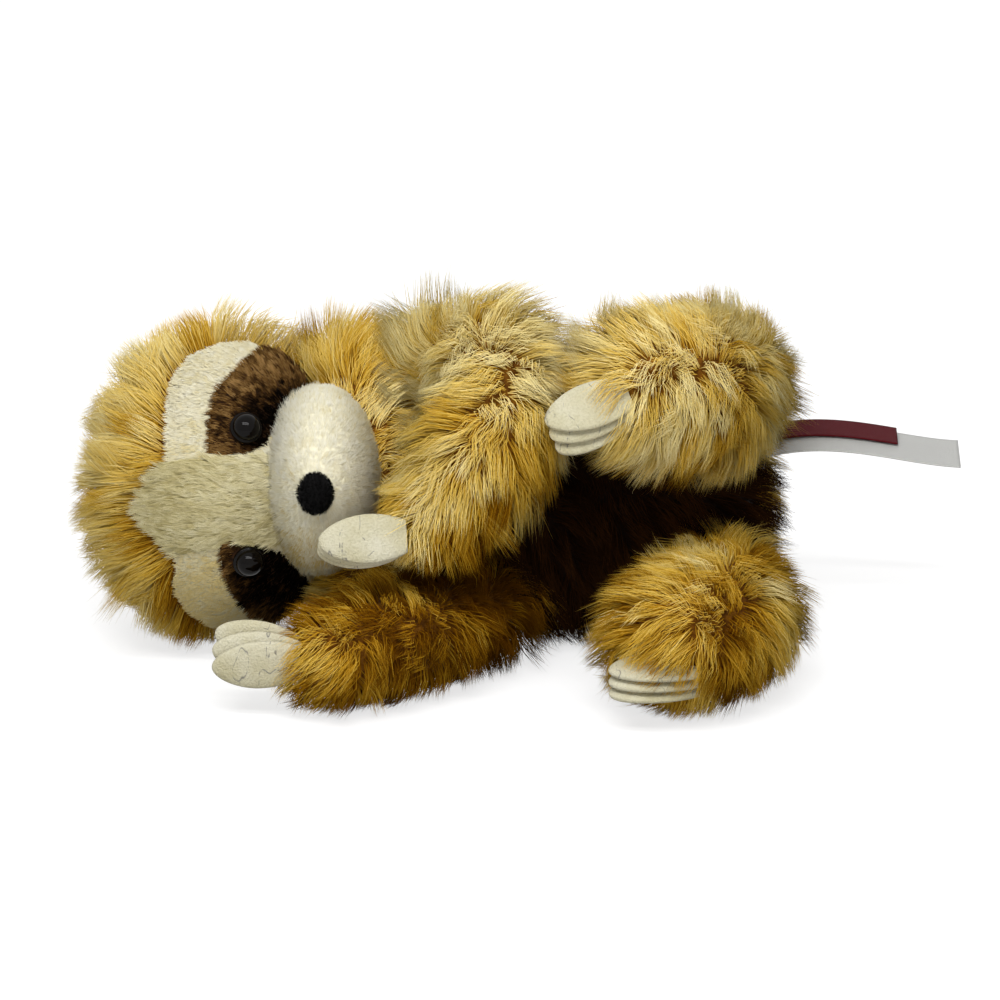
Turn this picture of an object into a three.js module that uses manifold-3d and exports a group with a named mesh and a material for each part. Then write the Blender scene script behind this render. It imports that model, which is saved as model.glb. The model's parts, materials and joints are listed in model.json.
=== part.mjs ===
// A stuffed toy sloth lying on its right side with its hands at its mouth, as sewn panels over stuffing.
// Millimetres. The toy frame has X to the rump, Y to the back and Z to the toy's left, from the body's
// centre.
import * as THREE from 'three';
import { NURBSCurve } from 'three/addons/curves/NURBSCurve.js';
import { mergeVertices } from 'three/addons/utils/BufferGeometryUtils.js';
import Module from 'manifold-3d';

const wasm = await Module();
wasm.setup();

// Lying pose, and the clearances that all pieces share
const rollBack = THREE.MathUtils.degToRad(20);
const fit = 0.3;
const restDepth = 0.5;
const overrun = 30;
const slabSize = 600;

// Fur fabric: thickness of backing with its pile pressed down, for long and short pile
const longPile = 6;
const shortPile = 4;

// Body, a pear along the spine
const bodyHalfLength = 63.5;
const bodyHalfWidth = 43;
const bodyHalfDepth = 36;
const bodyProfileShares = [
  [-1, 0], [-0.93, 0.36], [-0.78, 0.6], [-0.52, 0.81], [-0.24, 0.94], [0.04, 1],
  [0.35, 0.975], [0.62, 0.86], [0.82, 0.65], [0.95, 0.36], [1, 0],
];
const bellyWidthShare = 0.84;
const bellyLengthShare = 0.9;

// Head, and where it lies from the body
const headHalfLength = 43.5;
const headHalfDepth = 45;
const headHalfWidth = 52;
const headForward = 10;
const neckGap = 8.5;
const neckRadius = 15;
const neckForward = 6;
const headTurning = 20;
const headNodding = 20;

// Ruff of long fur around the neck
const ruffHalfLength = 27;
const ruffHalfDepth = 35;
const ruffHalfWidth = 49;
const ruffBack = 2;
const ruffRise = 4;
const ruffNeckLength = 5.2;

// Face panels, as shares of the head's half length and half width from its centre, seen from the front
const stripShares = [
  [-0.6, -0.14], [-0.46, 0.07], [-0.36, 0.15], [0.4, 0.19], [0.6, 0.1], [0.6, -0.3],
  [0.42, -0.36], [0.02, -0.38], [-0.3, -0.43], [-0.46, -0.3],
];
const faceLeftShares = [
  [-0.36, 0.15], [-0.37, 0.4], [-0.34, 0.64], [-0.2, 0.8], [0.02, 0.87], [0.22, 0.88], [0.42, 0.79],
  [0.6, 0.65], [0.72, 0.4], [0.74, 0.06], [0.6, 0.1], [0.4, 0.19],
];
const faceRightShares = [
  [-0.3, -0.43], [-0.31, -0.66], [-0.2, -0.79], [-0.04, -0.87], [0.2, -0.89], [0.42, -0.84],
  [0.62, -0.7], [0.72, -0.5], [0.74, -0.2], [0.6, -0.3], [0.42, -0.36], [0.02, -0.38],
];
const faceShares = [
  [-0.6, -0.14], [-0.46, 0.07], [-0.36, 0.15], [-0.37, 0.4], [-0.34, 0.64], [-0.2, 0.8], [0.02, 0.87],
  [0.22, 0.88], [0.42, 0.79], [0.6, 0.65], [0.72, 0.4], [0.76, 0], [0.72, -0.5], [0.62, -0.7],
  [0.42, -0.84], [0.2, -0.89], [-0.04, -0.87], [-0.2, -0.79], [-0.31, -0.66], [-0.3, -0.43], [-0.46, -0.3],
];
const patchLeftShares = [
  [-0.06, 0.2], [-0.05, 0.42], [-0.01, 0.58], [0.09, 0.68], [0.22, 0.76], [0.36, 0.78],
  [0.52, 0.7], [0.56, 0.56], [0.45, 0.36], [0.36, 0.24], [0.22, 0.19], [0.06, 0.18],
];
const patchRightShares = [
  [0.02, -0.37], [0.1, -0.34], [0.34, -0.35], [0.5, -0.42], [0.62, -0.52], [0.7, -0.62],
  [0.6, -0.75], [0.4, -0.83], [0.24, -0.8], [0.12, -0.68], [0.04, -0.52],
];

// Muzzle and nose
const muzzleHalfLength = 19;
const muzzleHalfDepth = 36;
const muzzleHalfWidth = 31;
const muzzlePlaceShares = [0.77, 0.53, 0.04];
const muzzleBackShare = -0.3;
const noseHalfLength = 6;
const noseHalfDepth = 4;
const noseHalfWidth = 7;
const nosePlaceShares = [-0.09, 0.985, -0.14];

// Eyes: a dome on a shank through the face, held by a washer behind it
const eyeRadius = 5;
const eyeHeight = 4.2;
const eyeRim = 0.9;
const eyeDomeShares = [[0.86, 0.56], [0.6, 0.83], [0.3, 0.96], [0, 1]];
const shankRadius = 1.8;
const shankLength = 10;
const washerRadius = 6;
const washerThickness = 1.5;
const washerClearance = 0.9;
const eyeLeftShares = [0.22, 0.365];
const eyeRightShares = [0.24, -0.476];

// Arms and legs: reach from the pivot, and the spine and fullness as shares of reach and radius
const armReach = 60;
const armRadius = 22;
const legReach = 60;
const legRadius = 27;
const shoulderLeftShares = [-0.65, 0.33, 0.62];
const shoulderRightShares = [-0.34, 0.33, -0.7];
const hipLeftShares = [0.605, 0.28, 0.745];
const hipRightShares = [0.605, 0.33, -0.68];
const armLeftSpineShares = [
  [0, 0, 0], [-0.04, 0.22, 0.3], [0.3, 0.56, 0.42], [0.32, 0.98, -0.1], [-0.06, 0.9, -0.55],
];
const armLeftRadiusShares = [0.73, 0.91, 1, 0.97, 0.78];
const armRightSpineShares = [[0, 0], [-0.3, 0.4], [-0.63, 0.7], [-0.95, 0.85]];
const armRightRadiusShares = [0.64, 0.88, 0.96, 0.82];
const legLeftSpineShares = [[0, 0, 0], [0.1, 0.37, 0.13], [0.03, 0.77, 0.08], [-0.27, 0.9, 0.07]];
const legLeftRadiusShares = [0.66, 0.96, 1, 0.88];
const legRightSpineShares = [[0, 0], [0.2, 0.37], [0.15, 0.73], [-0.12, 0.87]];
const legRightRadiusShares = [0.62, 0.89, 0.96, 0.92];
const limbDivideShare = -0.02;
const armOpening = 40;
const legOpening = 35;
const openingSteps = 3;
const ruffSteps = 8;
const rootOpeningShare = 0.5;

// Felt claws, three to a limb
const clawLength = 28;
const clawWidth = 15;
const clawThickness = 3;
const clawSpacing = 0.5;
const clawBaseShare = 0.64;
const clawWaistShares = [0.35, 1.05];
const clawSideShares = [0.6, 1.1];
const clawShoulderShares = [0.7, 0.95];
const clawCornerShares = [0.1, 0.75];
const clawCrownShare = 0.4;

// Where each set of claws starts on its limb's last round, and how it points, faces and fans in degrees
const armLeftClaws = {
  fromShares: [-0.45, 0.66, -0.2], pointShares: [-1, 0.12, -0.12], faceShares: [0, 1, 0.1], fan: 7,
};
const armRightClaws = {
  fromShares: [-0.55, 0.3, 0.02], pointShares: [-1, 0.04, 0.1], faceShares: [0, 1, -0.3], fan: -10,
};
const legLeftClaws = {
  fromShares: [-0.14, 0.73, -0.06], pointShares: [-1, 0.2, -0.5], faceShares: [-0.1, 1, 0.35], fan: 8,
};
const legRightClaws = {
  fromShares: [0.2, 0.64, -0.49], pointShares: [-1, 0.16, -0.06], faceShares: [0, 0.55, 0.83], fan: 3,
};

// Labels sewn into the rump seam, and the card tag on its plastic loop
const careLabelLength = 64;
const careLabelWidth = 20;
const wovenLabelLength = 44;
const wovenLabelWidth = 12;
const labelThickness = 0.6;
const labelWaveShare = 0.04;
const labelSpacing = 1.2;
const labelTilt = THREE.MathUtils.degToRad(65);
const labelPlaceShares = [0, 0.44];
const wovenAsideShare = 0.25;
const tagLength = 32;
const tagWidth = 26;
const tagThickness = 0.8;
const tagCornerRadius = 3;
const tagPlaceShares = [-0.56, -0.05];
const tagRootShare = 0.3;
const fastenerRadius = 0.6;
const fastenerHeadRadius = 1.6;
const fastenerDepth = 3;

// Mesh fineness
const roundSegments = 20;
const roundRings = 12;
const limbSides = 10;
const limbStations = 7;
const smallSegments = 16;
const rootSegments = 12;
const clawCurveSteps = 3;
const labelSteps = 12;
const tagCornerSteps = 6;

const sinRoll = Math.sin(rollBack);
const cosRoll = Math.cos(rollBack);

// A place from its distance to the rump, to the front and to the toy's left
function place(along, front, left) {
  return new THREE.Vector3(along, -front, left);
}

// A place from shares of three half sizes, in the same order
function placeFrom(shares, sizes) {
  return place(...shares.map((share, index) => share * sizes[index]));
}

function solidOf(geometry) {
  const bare = geometry.index ? geometry.toNonIndexed() : geometry.clone();
  bare.deleteAttribute('normal');
  bare.deleteAttribute('uv');
  const merged = mergeVertices(bare);
  return new wasm.Manifold(new wasm.Mesh({
    numProp: 3,
    vertProperties: new Float32Array(merged.attributes.position.array),
    triVerts: new Uint32Array(merged.index.array),
  }));
}

function geometryOf(solid) {
  const mesh = solid.getMesh();
  const geometry = new THREE.BufferGeometry();
  geometry.setAttribute('position', new THREE.BufferAttribute(new Float32Array(mesh.vertProperties), 3));
  geometry.setIndex(new THREE.BufferAttribute(new Uint32Array(mesh.triVerts), 1));
  return geometry;
}

// The main body of a cut piece, without loose slivers
function mainBody(solid) {
  const bodies = solid.decompose();
  return bodies.reduce((best, next) => (next.volume() > best.volume() ? next : best));
}

// An ellipsoid with its poles along the spine and one line of corners where it meets the floor
function ellipsoid(centre, halfLength, halfDepth, halfWidth, segments = roundSegments, rings = roundRings) {
  const geometry = new THREE.SphereGeometry(1, segments, rings);
  geometry.rotateZ(Math.PI / 2);
  geometry.rotateX(floorTurn(halfDepth, halfWidth, segments));
  geometry.scale(halfLength, halfDepth, halfWidth);
  geometry.translate(centre.x, centre.y, centre.z);
  return solidOf(geometry);
}

// The turn that brings a line of corners of an elliptic section to its lowest point
function floorTurn(halfDepth, halfWidth, segments) {
  const lowest = Math.atan2(-halfWidth * cosRoll, halfDepth * sinRoll);
  const step = (2 * Math.PI) / segments;
  return lowest - step * Math.floor(lowest / step);
}

// How far an ellipsoid's lowest point lies below its centre
function drop(halfDepth, halfWidth) {
  return Math.hypot(halfWidth * cosRoll, halfDepth * sinRoll);
}

// Height of the toy frame's origin over the floor, and the sideways place of what rests on it
const originHeight = drop(bodyHalfDepth, bodyHalfWidth) - restDepth;

function restingLeft(front, below) {
  return (below - restDepth - originHeight - front * sinRoll) / cosRoll;
}

const headCentre = place(
  -(bodyHalfLength + neckGap + headHalfLength), headForward,
  restingLeft(headForward, drop(headHalfDepth, headHalfWidth)),
);
const neckPivot = place(-(bodyHalfLength + neckGap / 2), neckForward, headCentre.z / 2);

// Body envelope: the pear moved in by a distance
function bodyEnvelope(inset) {
  const points = bodyProfileShares.map(([along, out]) => new THREE.Vector2(out, along));
  const geometry = new THREE.LatheGeometry(points, roundSegments);
  geometry.rotateZ(-Math.PI / 2);
  geometry.rotateX(floorTurn(bodyHalfDepth, bodyHalfWidth, roundSegments));
  geometry.scale(bodyHalfLength - inset, bodyHalfDepth - inset, bodyHalfWidth - inset);
  return solidOf(geometry);
}

function headEnvelope(inset) {
  return ellipsoid(headCentre, ...headSizes.map((size) => size - inset));
}

const headSizes = [headHalfLength, headHalfDepth, headHalfWidth];
const muzzleSizes = [muzzleHalfLength, muzzleHalfDepth, muzzleHalfWidth];
const muzzleCentre = headCentre.clone().add(placeFrom(muzzlePlaceShares, headSizes));

function muzzleEnvelope(inset) {
  return ellipsoid(muzzleCentre, ...muzzleSizes.map((size) => size - inset));
}

// A sphere whose facets lie outside the given radius when it is a pocket
function ball(centre, radius, clearance = 0) {
  const out = clearance ? (radius + clearance) / Math.cos(Math.PI / rootSegments) ** 2 : radius;
  const geometry = new THREE.SphereGeometry(out, rootSegments, rootSegments / 2);
  geometry.translate(centre.x, centre.y, centre.z);
  return solidOf(geometry);
}

// Everything below the floor, as a slab in the toy frame
function floorSlab() {
  const geometry = new THREE.BoxGeometry(slabSize, slabSize, slabSize);
  geometry.translate(0, 0, -slabSize / 2 - originHeight);
  geometry.rotateX(rollBack);
  return solidOf(geometry);
}

// A half space beyond a plane across the spine or across the toy's width
function beyond(axis, distance, sign) {
  const geometry = new THREE.BoxGeometry(slabSize, slabSize, slabSize);
  const shift = distance + (sign * slabSize) / 2;
  geometry.translate(axis === 'x' ? shift : 0, axis === 'y' ? shift : 0, axis === 'z' ? shift : 0);
  return solidOf(geometry);
}

// An outline grown by moving each corner out along the mean of its two edge normals
function grown(points, amount) {
  const turn = THREE.ShapeUtils.area(points) > 0 ? 1 : -1;
  return points.map((point, index) => {
    const before = points[(index + points.length - 1) % points.length];
    const after = points[(index + 1) % points.length];
    const first = new THREE.Vector2(point.y - before.y, before.x - point.x).normalize();
    const second = new THREE.Vector2(after.y - point.y, point.x - after.x).normalize();
    const mean = first.add(second).normalize();
    return point.clone().addScaledVector(mean, amount * turn);
  });
}

// A prism over an outline of the face, from the head's middle to past its front
function facePrism(shares, amount) {
  const points = shares.map(([along, left]) => (
    new THREE.Vector2(along * headHalfLength, left * headHalfWidth)
  ));
  const shape = new THREE.Shape(grown(points, amount));
  const depth = headHalfDepth + overrun;
  const geometry = new THREE.ExtrudeGeometry(shape, { depth, bevelEnabled: false });
  geometry.rotateX(Math.PI / 2);
  geometry.translate(headCentre.x, headCentre.y, headCentre.z);
  return solidOf(geometry);
}

function material(color, roughness) {
  return new THREE.MeshStandardMaterial({ color, roughness, metalness: 0 });
}

const materials = {
  fur: material(0xb08a3c, 0.95),
  belly: material(0x2a150a, 0.95),
  white: material(0xe0d9c0, 0.95),
  strip: material(0xbcb283, 0.95),
  patch: material(0x4a2a12, 0.95),
  muzzle: material(0xe9e5cf, 0.95),
  nose: material(0x0b0a09, 0.8),
  eye: material(0x0a0706, 0.08),
  washer: material(0xdedcd4, 0.5),
  felt: material(0xe4dcc0, 0.95),
  stuffing: material(0xf2f0ea, 1),
  careLabel: material(0xe6e4e0, 0.6),
  wovenLabel: material(0x6e1420, 0.8),
  tag: material(0x786947, 0.85),
  fastener: material(0xc9c7c0, 0.3),
};

// A group turned at its pivot, and a mesh placed in it from a solid in the toy frame
function pivotGroup(parent, pivot) {
  const group = new THREE.Group();
  group.userData.pivot = pivot.clone();
  group.position.copy(pivot).sub(parent.userData.pivot);
  parent.add(group);
  return group;
}

function addPiece(group, name, solid, look) {
  const geometry = geometryOf(mainBody(solid));
  geometry.translate(-group.userData.pivot.x, -group.userData.pivot.y, -group.userData.pivot.z);
  const mesh = new THREE.Mesh(geometry, look);
  mesh.name = name;
  group.add(mesh);
}

const floor = floorSlab();

// An even cubic curve that starts at the first point, ends at the last and is drawn by those between
function smoothCurve(points) {
  const degree = 3;
  const inner = points.length - degree - 1;
  const between = Array.from({ length: inner }, (_, knot) => (knot + 1) / (inner + 1));
  const knots = [...Array(degree + 1).fill(0), ...between, ...Array(degree + 1).fill(1)];
  return new NURBSCurve(degree, knots, points.map((point) => new THREE.Vector4(...point, 1)));
}

// A limb's surface: rings square to its spine, round at both ends, moved in by a distance
function limbEnvelope(limb, inset) {
  const curve = smoothCurve(limb.spine);
  const rings = limbRings(limb, curve, inset);
  const across = new THREE.Vector3(0, -sinRoll, -cosRoll);
  const corners = [];
  for (const ring of rings) {
    across.addScaledVector(ring.tangent, -across.dot(ring.tangent)).normalize();
    const side = new THREE.Vector3().crossVectors(ring.tangent, across);
    for (let index = 0; index < limbSides; index += 1) {
      const angle = (2 * Math.PI * index) / limbSides;
      const out = across.clone().multiplyScalar(Math.cos(angle)).addScaledVector(side, Math.sin(angle));
      corners.push(ring.centre.clone().addScaledVector(out, ring.radius));
    }
  }
  const first = rings[0];
  const last = rings[rings.length - 1];
  return solidOf(closedRings(corners, limbSides, first.pole, last.pole));
}

// Ring places along a limb, with the rings of the round ends
function limbRings(limb, curve, inset) {
  const rings = [];
  const start = limb.radii[0] - inset;
  const end = limb.radii[limb.radii.length - 1] - inset;
  const startTangent = curve.getTangentAt(0);
  const endTangent = curve.getTangentAt(1);
  const capAngles = [Math.PI / 3, Math.PI / 6];
  const startPole = limb.spine[0].clone().addScaledVector(startTangent, -start);
  const lastSpot = limb.spine[limb.spine.length - 1];
  const endPole = lastSpot.clone().addScaledVector(endTangent, end);
  for (const angle of capAngles) {
    const centre = limb.spine[0].clone().addScaledVector(startTangent, -start * Math.sin(angle));
    rings.push({ centre, tangent: startTangent, radius: start * Math.cos(angle), pole: startPole });
  }
  for (let index = 0; index <= limbStations; index += 1) {
    const share = index / limbStations;
    const centre = curve.getPointAt(share);
    rings.push({ centre, tangent: curve.getTangentAt(share), radius: radiusAt(limb.radii, share) - inset });
  }
  for (const angle of capAngles.reverse()) {
    const centre = lastSpot.clone().addScaledVector(endTangent, end * Math.sin(angle));
    rings.push({ centre, tangent: endTangent, radius: end * Math.cos(angle), pole: endPole });
  }
  return rings;
}

// The radius between the stated ones, by a smooth step from each to the next
function radiusAt(radii, share) {
  const scaled = share * (radii.length - 1);
  const index = Math.min(Math.floor(scaled), radii.length - 2);
  const local = scaled - index;
  return THREE.MathUtils.lerp(radii[index], radii[index + 1], local * local * (3 - 2 * local));
}

// A closed surface from rings of corners and a pole at each end
function closedRings(corners, sides, firstPole, lastPole) {
  const points = [...corners, firstPole, lastPole];
  const geometry = new THREE.BufferGeometry().setFromPoints(points);
  const index = [];
  const count = corners.length / sides;
  for (let ring = 0; ring < count; ring += 1) {
    for (let side = 0; side < sides; side += 1) {
      const next = (side + 1) % sides;
      const here = ring * sides;
      if (ring === 0) index.push(corners.length, here + next, here + side);
      if (ring === count - 1) index.push(corners.length + 1, here + side, here + next);
      if (ring < count - 1) {
        index.push(here + side, here + next, here + sides + next);
        index.push(here + side, here + sides + next, here + sides + side);
      }
    }
  }
  geometry.setIndex(index);
  return geometry;
}

function spineFrom(pivot, reach, shares) {
  return shares.map((spot) => pivot.clone().add(placeFrom(spot, [reach, reach, reach])));
}

// A spine whose places past the pivot rest on the floor by their radius
function restingSpine(pivot, reach, shares, radii) {
  return shares.map(([along, front], index) => {
    const spot = pivot.clone().add(place(along * reach, front * reach, 0));
    if (index > 0) spot.z = restingLeft(-spot.y, radii[index]);
    return spot;
  });
}

function bodyPlace(shares) {
  return placeFrom(shares, [bodyHalfLength, bodyHalfDepth, bodyHalfWidth]);
}

const limbSizes = {
  arm: { reach: armReach, radius: armRadius, opening: armOpening },
  leg: { reach: legReach, radius: legRadius, opening: legOpening },
};

function makeLimb(kind, side, rootShares, spineShares, radiusShares, claws) {
  const { reach, radius, opening } = limbSizes[kind];
  const pivot = bodyPlace(rootShares);
  const radii = radiusShares.map((share) => share * radius);
  const flat = spineShares[0].length === 2;
  const spine = flat ? restingSpine(pivot, reach, spineShares, radii) : spineFrom(pivot, reach, spineShares);
  return { name: `${kind}_${side}`, pivot, radii, spine, opening, claws };
}

const armLeft = makeLimb(
  'arm', 'left', shoulderLeftShares, armLeftSpineShares, armLeftRadiusShares, armLeftClaws,
);
const armRight = makeLimb(
  'arm', 'right', shoulderRightShares, armRightSpineShares, armRightRadiusShares, armRightClaws,
);
const legLeft = makeLimb(
  'leg', 'left', hipLeftShares, legLeftSpineShares, legLeftRadiusShares, legLeftClaws,
);
const legRight = makeLimb(
  'leg', 'right', hipRightShares, legRightSpineShares, legRightRadiusShares, legRightClaws,
);
const limbs = [armLeft, armRight, legLeft, legRight];
const divide = limbDivideShare * bodyHalfLength;
armLeft.bounds = [['x', divide - fit, 1]];
legLeft.bounds = [['x', divide + fit, -1]];
armRight.bounds = [];
legRight.bounds = [];

// A petal in its own plane, from its base at the origin to its round tip along X
function clawShape(amount) {
  const half = clawWidth / 2 + amount;
  const base = half * clawBaseShare;
  const tip = clawLength + amount;
  const crown = half * clawCrownShare;
  const waist = new THREE.Vector2(clawLength * clawWaistShares[0], half * clawWaistShares[1]);
  const side = new THREE.Vector2(clawLength * clawSideShares[0], half * clawSideShares[1]);
  const [shoulder, corner] = [clawShoulderShares, clawCornerShares].map(([short, out]) => (
    new THREE.Vector2(clawLength - half * short, half * out)
  ));
  const shape = new THREE.Shape();
  shape.moveTo(-amount, -base);
  shape.bezierCurveTo(waist.x, -waist.y, side.x, -side.y, shoulder.x, -shoulder.y);
  shape.bezierCurveTo(corner.x, -corner.y, tip, -crown, tip, 0);
  shape.bezierCurveTo(tip, crown, corner.x, corner.y, shoulder.x, shoulder.y);
  shape.bezierCurveTo(side.x, side.y, waist.x, waist.y, -amount, base);
  return shape;
}

// One claw of a limb, grown by an amount where it is a slot
function clawSolid(limb, index, amount) {
  const { fromShares, pointShares, faceShares, fan } = limb.claws;
  const end = limb.spine[limb.spine.length - 1];
  const radius = limb.radii[limb.radii.length - 1];
  const point = place(...fromShares).multiplyScalar(radius).add(end);
  const direction = place(...pointShares).normalize();
  const facing = place(...faceShares);
  facing.addScaledVector(direction, -facing.dot(direction)).normalize();
  const across = new THREE.Vector3().crossVectors(facing, direction);
  const depth = clawThickness + 2 * amount;
  const settings = { depth, bevelEnabled: false, curveSegments: clawCurveSteps };
  const geometry = new THREE.ExtrudeGeometry(clawShape(amount), settings);
  geometry.translate(0, 0, -depth / 2 + (1 - index) * (clawThickness + clawSpacing));
  geometry.rotateZ(THREE.MathUtils.degToRad(fan) * (index - 1));
  geometry.applyMatrix4(new THREE.Matrix4().makeBasis(direction, across, facing).setPosition(point));
  return solidOf(geometry);
}

const clawSlots = new Map(limbs.map((limb) => {
  const slots = [0, 1, 2].map((index) => clawSolid(limb, index, fit));
  return [limb, slots.reduce((joined, slot) => joined.add(slot))];
}));

// The body as a limb meets it when the limb has opened by a share of its range
function bodyFrom(limb, share, inset) {
  const turn = Math.sign(limb.pivot.z) * limb.opening * share;
  return turnedAbout(bodyEnvelope(-fit - inset), limb.pivot, [turn, 0, 0]);
}

// A limb with what is larger cut away, and its root ball put back
function limbSolid(limb, inset) {
  let shape = limbEnvelope(limb, inset);
  for (let step = 0; step <= openingSteps; step += 1) {
    shape = shape.subtract(bodyFrom(limb, step / openingSteps, inset));
  }
  shape = shape.subtract(headEnvelope(-fit - inset)).subtract(muzzleEnvelope(-fit - inset));
  for (const [axis, distance, sign] of limb.bounds) {
    shape = shape.subtract(beyond(axis, distance - sign * inset, sign));
  }
  shape = mainBody(shape).add(ball(limb.pivot, limb.radii[0] - inset));
  return shape.subtract(floor);
}

// The way through which a limb's stuffing meets the body's
function rootOpening(limb, amount) {
  const radius = limb.radii[0] * rootOpeningShare + amount;
  const length = limb.radii[0] + overrun;
  const geometry = new THREE.CylinderGeometry(radius, radius, length, limbSides);
  geometry.translate(0, length / 2, 0);
  const inward = new THREE.Vector3(0, 0, -Math.sign(limb.pivot.z));
  const turn = new THREE.Quaternion().setFromUnitVectors(new THREE.Vector3(0, 1, 0), inward);
  geometry.applyQuaternion(turn);
  geometry.translate(limb.pivot.x, limb.pivot.y, limb.pivot.z);
  return solidOf(geometry);
}

function addLimb(parent, limb) {
  const group = pivotGroup(parent, limb.pivot);
  const outer = limbSolid(limb, 0);
  const cavity = limbSolid(limb, longPile).add(rootOpening(limb, 0));
  const slots = clawSlots.get(limb);
  addPiece(group, `${limb.name}_skin`, outer.subtract(cavity).subtract(slots), materials.fur);
  const root = rootOpening(limb, -fit).intersect(ball(limb.pivot, limb.radii[0]));
  const filling = limbSolid(limb, longPile + fit).add(root);
  addPiece(group, `${limb.name}_stuffing`, filling.subtract(slots), materials.stuffing);
  const names = ['front', 'middle', 'rear'];
  names.forEach((word, index) => {
    addPiece(group, `${limb.name}_claw_${word}`, clawSolid(limb, index, 0), materials.felt);
  });
}

// A solid turned in degrees about an axis of the toy frame through a pivot
function turnedAbout(solid, pivot, degrees) {
  const { x, y, z } = pivot;
  return solid.translate([-x, -y, -z]).rotate(degrees).translate([x, y, z]);
}

// An arm as the ruff meets it at each step of its opening, grown by the clearance
function openingArm(limb) {
  const whole = limbEnvelope(limb, -fit).add(ball(limb.pivot, limb.radii[0], fit));
  const arms = Array.from({ length: ruffSteps + 1 }, (_, step) => {
    const turn = Math.sign(limb.pivot.z) * limb.opening * (step / ruffSteps);
    return turnedAbout(whole, limb.pivot, [-turn, 0, 0]);
  });
  return arms.reduce((joined, arm) => joined.add(arm));
}

const ruffDivide = neckPivot.x + ruffNeckLength;

function ruffEnvelope() {
  const centre = neckPivot.clone().add(place(0, -ruffBack, ruffRise));
  return ellipsoid(centre, ruffHalfLength, ruffHalfDepth, ruffHalfWidth).subtract(floor);
}

// The ruff's side to the head, clear of all round it while the neck turns and the head nods
function neckRuff() {
  let ruff = ruffEnvelope().subtract(beyond('x', ruffDivide - fit / 2, 1));
  const trunk = bodyEnvelope(-fit).add(openingArm(armRight).hull());
  const skull = headEnvelope(-fit).add(muzzleEnvelope(-fit));
  for (let step = 0; step <= ruffSteps; step += 1) {
    const share = step / ruffSteps;
    ruff = ruff.subtract(turnedAbout(trunk, neckPivot, [headTurning * share, 0, 0]));
    ruff = ruff.subtract(turnedAbout(skull, neckPivot, [0, 0, -headNodding * share]));
  }
  return ruff.subtract(ball(neckPivot, neckRadius + fit));
}

// The ruff's side to the body, which stays with it
function backRuff() {
  const round = bodyEnvelope(-fit).add(openingArm(armLeft)).add(openingArm(armRight));
  return ruffEnvelope().intersect(beyond('x', ruffDivide + fit / 2, 1)).subtract(round)
    .subtract(muzzleEnvelope(-fit)).subtract(ball(neckPivot, neckRadius, fit));
}

// Body: two back panels and a belly panel over the stuffing, with a pocket for each limb and the neck
function bodyPockets() {
  const pockets = limbs.map((limb) => ball(limb.pivot, limb.radii[0], fit));
  return pockets.reduce((joined, pocket) => joined.add(pocket)).add(ball(neckPivot, neckRadius, fit));
}

function bellyPrism(amount) {
  const geometry = new THREE.CylinderGeometry(1, 1, 1, roundSegments);
  const depth = bodyHalfDepth + overrun;
  const halfLength = bodyHalfLength * bellyLengthShare + amount;
  geometry.scale(halfLength, depth, bodyHalfWidth * bellyWidthShare + amount);
  geometry.translate(0, -depth / 2, 0);
  return solidOf(geometry);
}

function addBody(parent) {
  const pockets = bodyPockets();
  const skin = bodyEnvelope(0).subtract(bodyEnvelope(longPile)).subtract(floor).subtract(pockets);
  const back = skin.subtract(bellyPrism(fit)).subtract(headedPin(fit));
  addPiece(parent, 'back_left', back.intersect(beyond('z', fit / 2, 1)), materials.fur);
  addPiece(parent, 'back_right', back.intersect(beyond('z', -fit / 2, -1)), materials.fur);
  addPiece(parent, 'belly_panel', skin.intersect(bellyPrism(0)), materials.belly);
  addPiece(parent, 'body_stuffing', bodyEnvelope(longPile + fit).subtract(pockets), materials.stuffing);
}

// Eye parts, turned about the eye's own axis with the face surface at zero
function turned(profile, eye) {
  const points = profile.map(([radius, height]) => new THREE.Vector2(radius, height));
  const geometry = new THREE.LatheGeometry(points, smallSegments);
  const up = new THREE.Vector3(0, 1, 0);
  geometry.applyQuaternion(new THREE.Quaternion().setFromUnitVectors(up, eye.normal));
  geometry.translate(eye.point.x, eye.point.y, eye.point.z);
  return solidOf(geometry);
}

// The spot on the face surface over a place seen from the front, with the surface's own direction there
function faceSpot([along, left]) {
  const front = Math.sqrt(1 - along * along - left * left);
  const sizes = headSizes.map((size) => size - longPile + shortPile);
  const point = headCentre.clone().add(place(along * sizes[0], front * sizes[1], left * sizes[2]));
  const normal = place(along / sizes[0], front / sizes[1], left / sizes[2]).normalize();
  return { point, normal };
}

function eyeSolid(eye) {
  const seat = fit + eyeRadius * eyeRadius / (2 * headHalfDepth);
  const dome = eyeDomeShares.map(([out, up]) => [eyeRadius * out, seat + eyeHeight * up]);
  const shank = [[0, -shankLength], [shankRadius, -shankLength], [shankRadius, seat], [eyeRadius, seat]];
  return turned([...shank, [eyeRadius, seat + eyeRim], ...dome], eye);
}

function shankHole(eye) {
  const radius = shankRadius + fit;
  const bottom = -shankLength - fit;
  return turned([[0, bottom], [radius, bottom], [radius, overrun], [0, overrun]], eye);
}

const washerSag = washerRadius * washerRadius / (2 * (headHalfDepth - longPile));
const washerTop = -(shortPile + washerClearance + washerSag);

function washerSolid(eye) {
  const bottom = washerTop - washerThickness;
  const inner = shankRadius + fit;
  return turned([
    [inner, bottom], [washerRadius, bottom], [washerRadius, washerTop], [inner, washerTop], [inner, bottom],
  ], eye);
}

function washerPocket(eye) {
  const bottom = Math.min(washerTop - washerThickness, -shankLength) - fit;
  const radius = washerRadius + fit;
  return turned([[0, bottom], [radius, bottom], [radius, overrun], [0, overrun]], eye);
}

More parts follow.
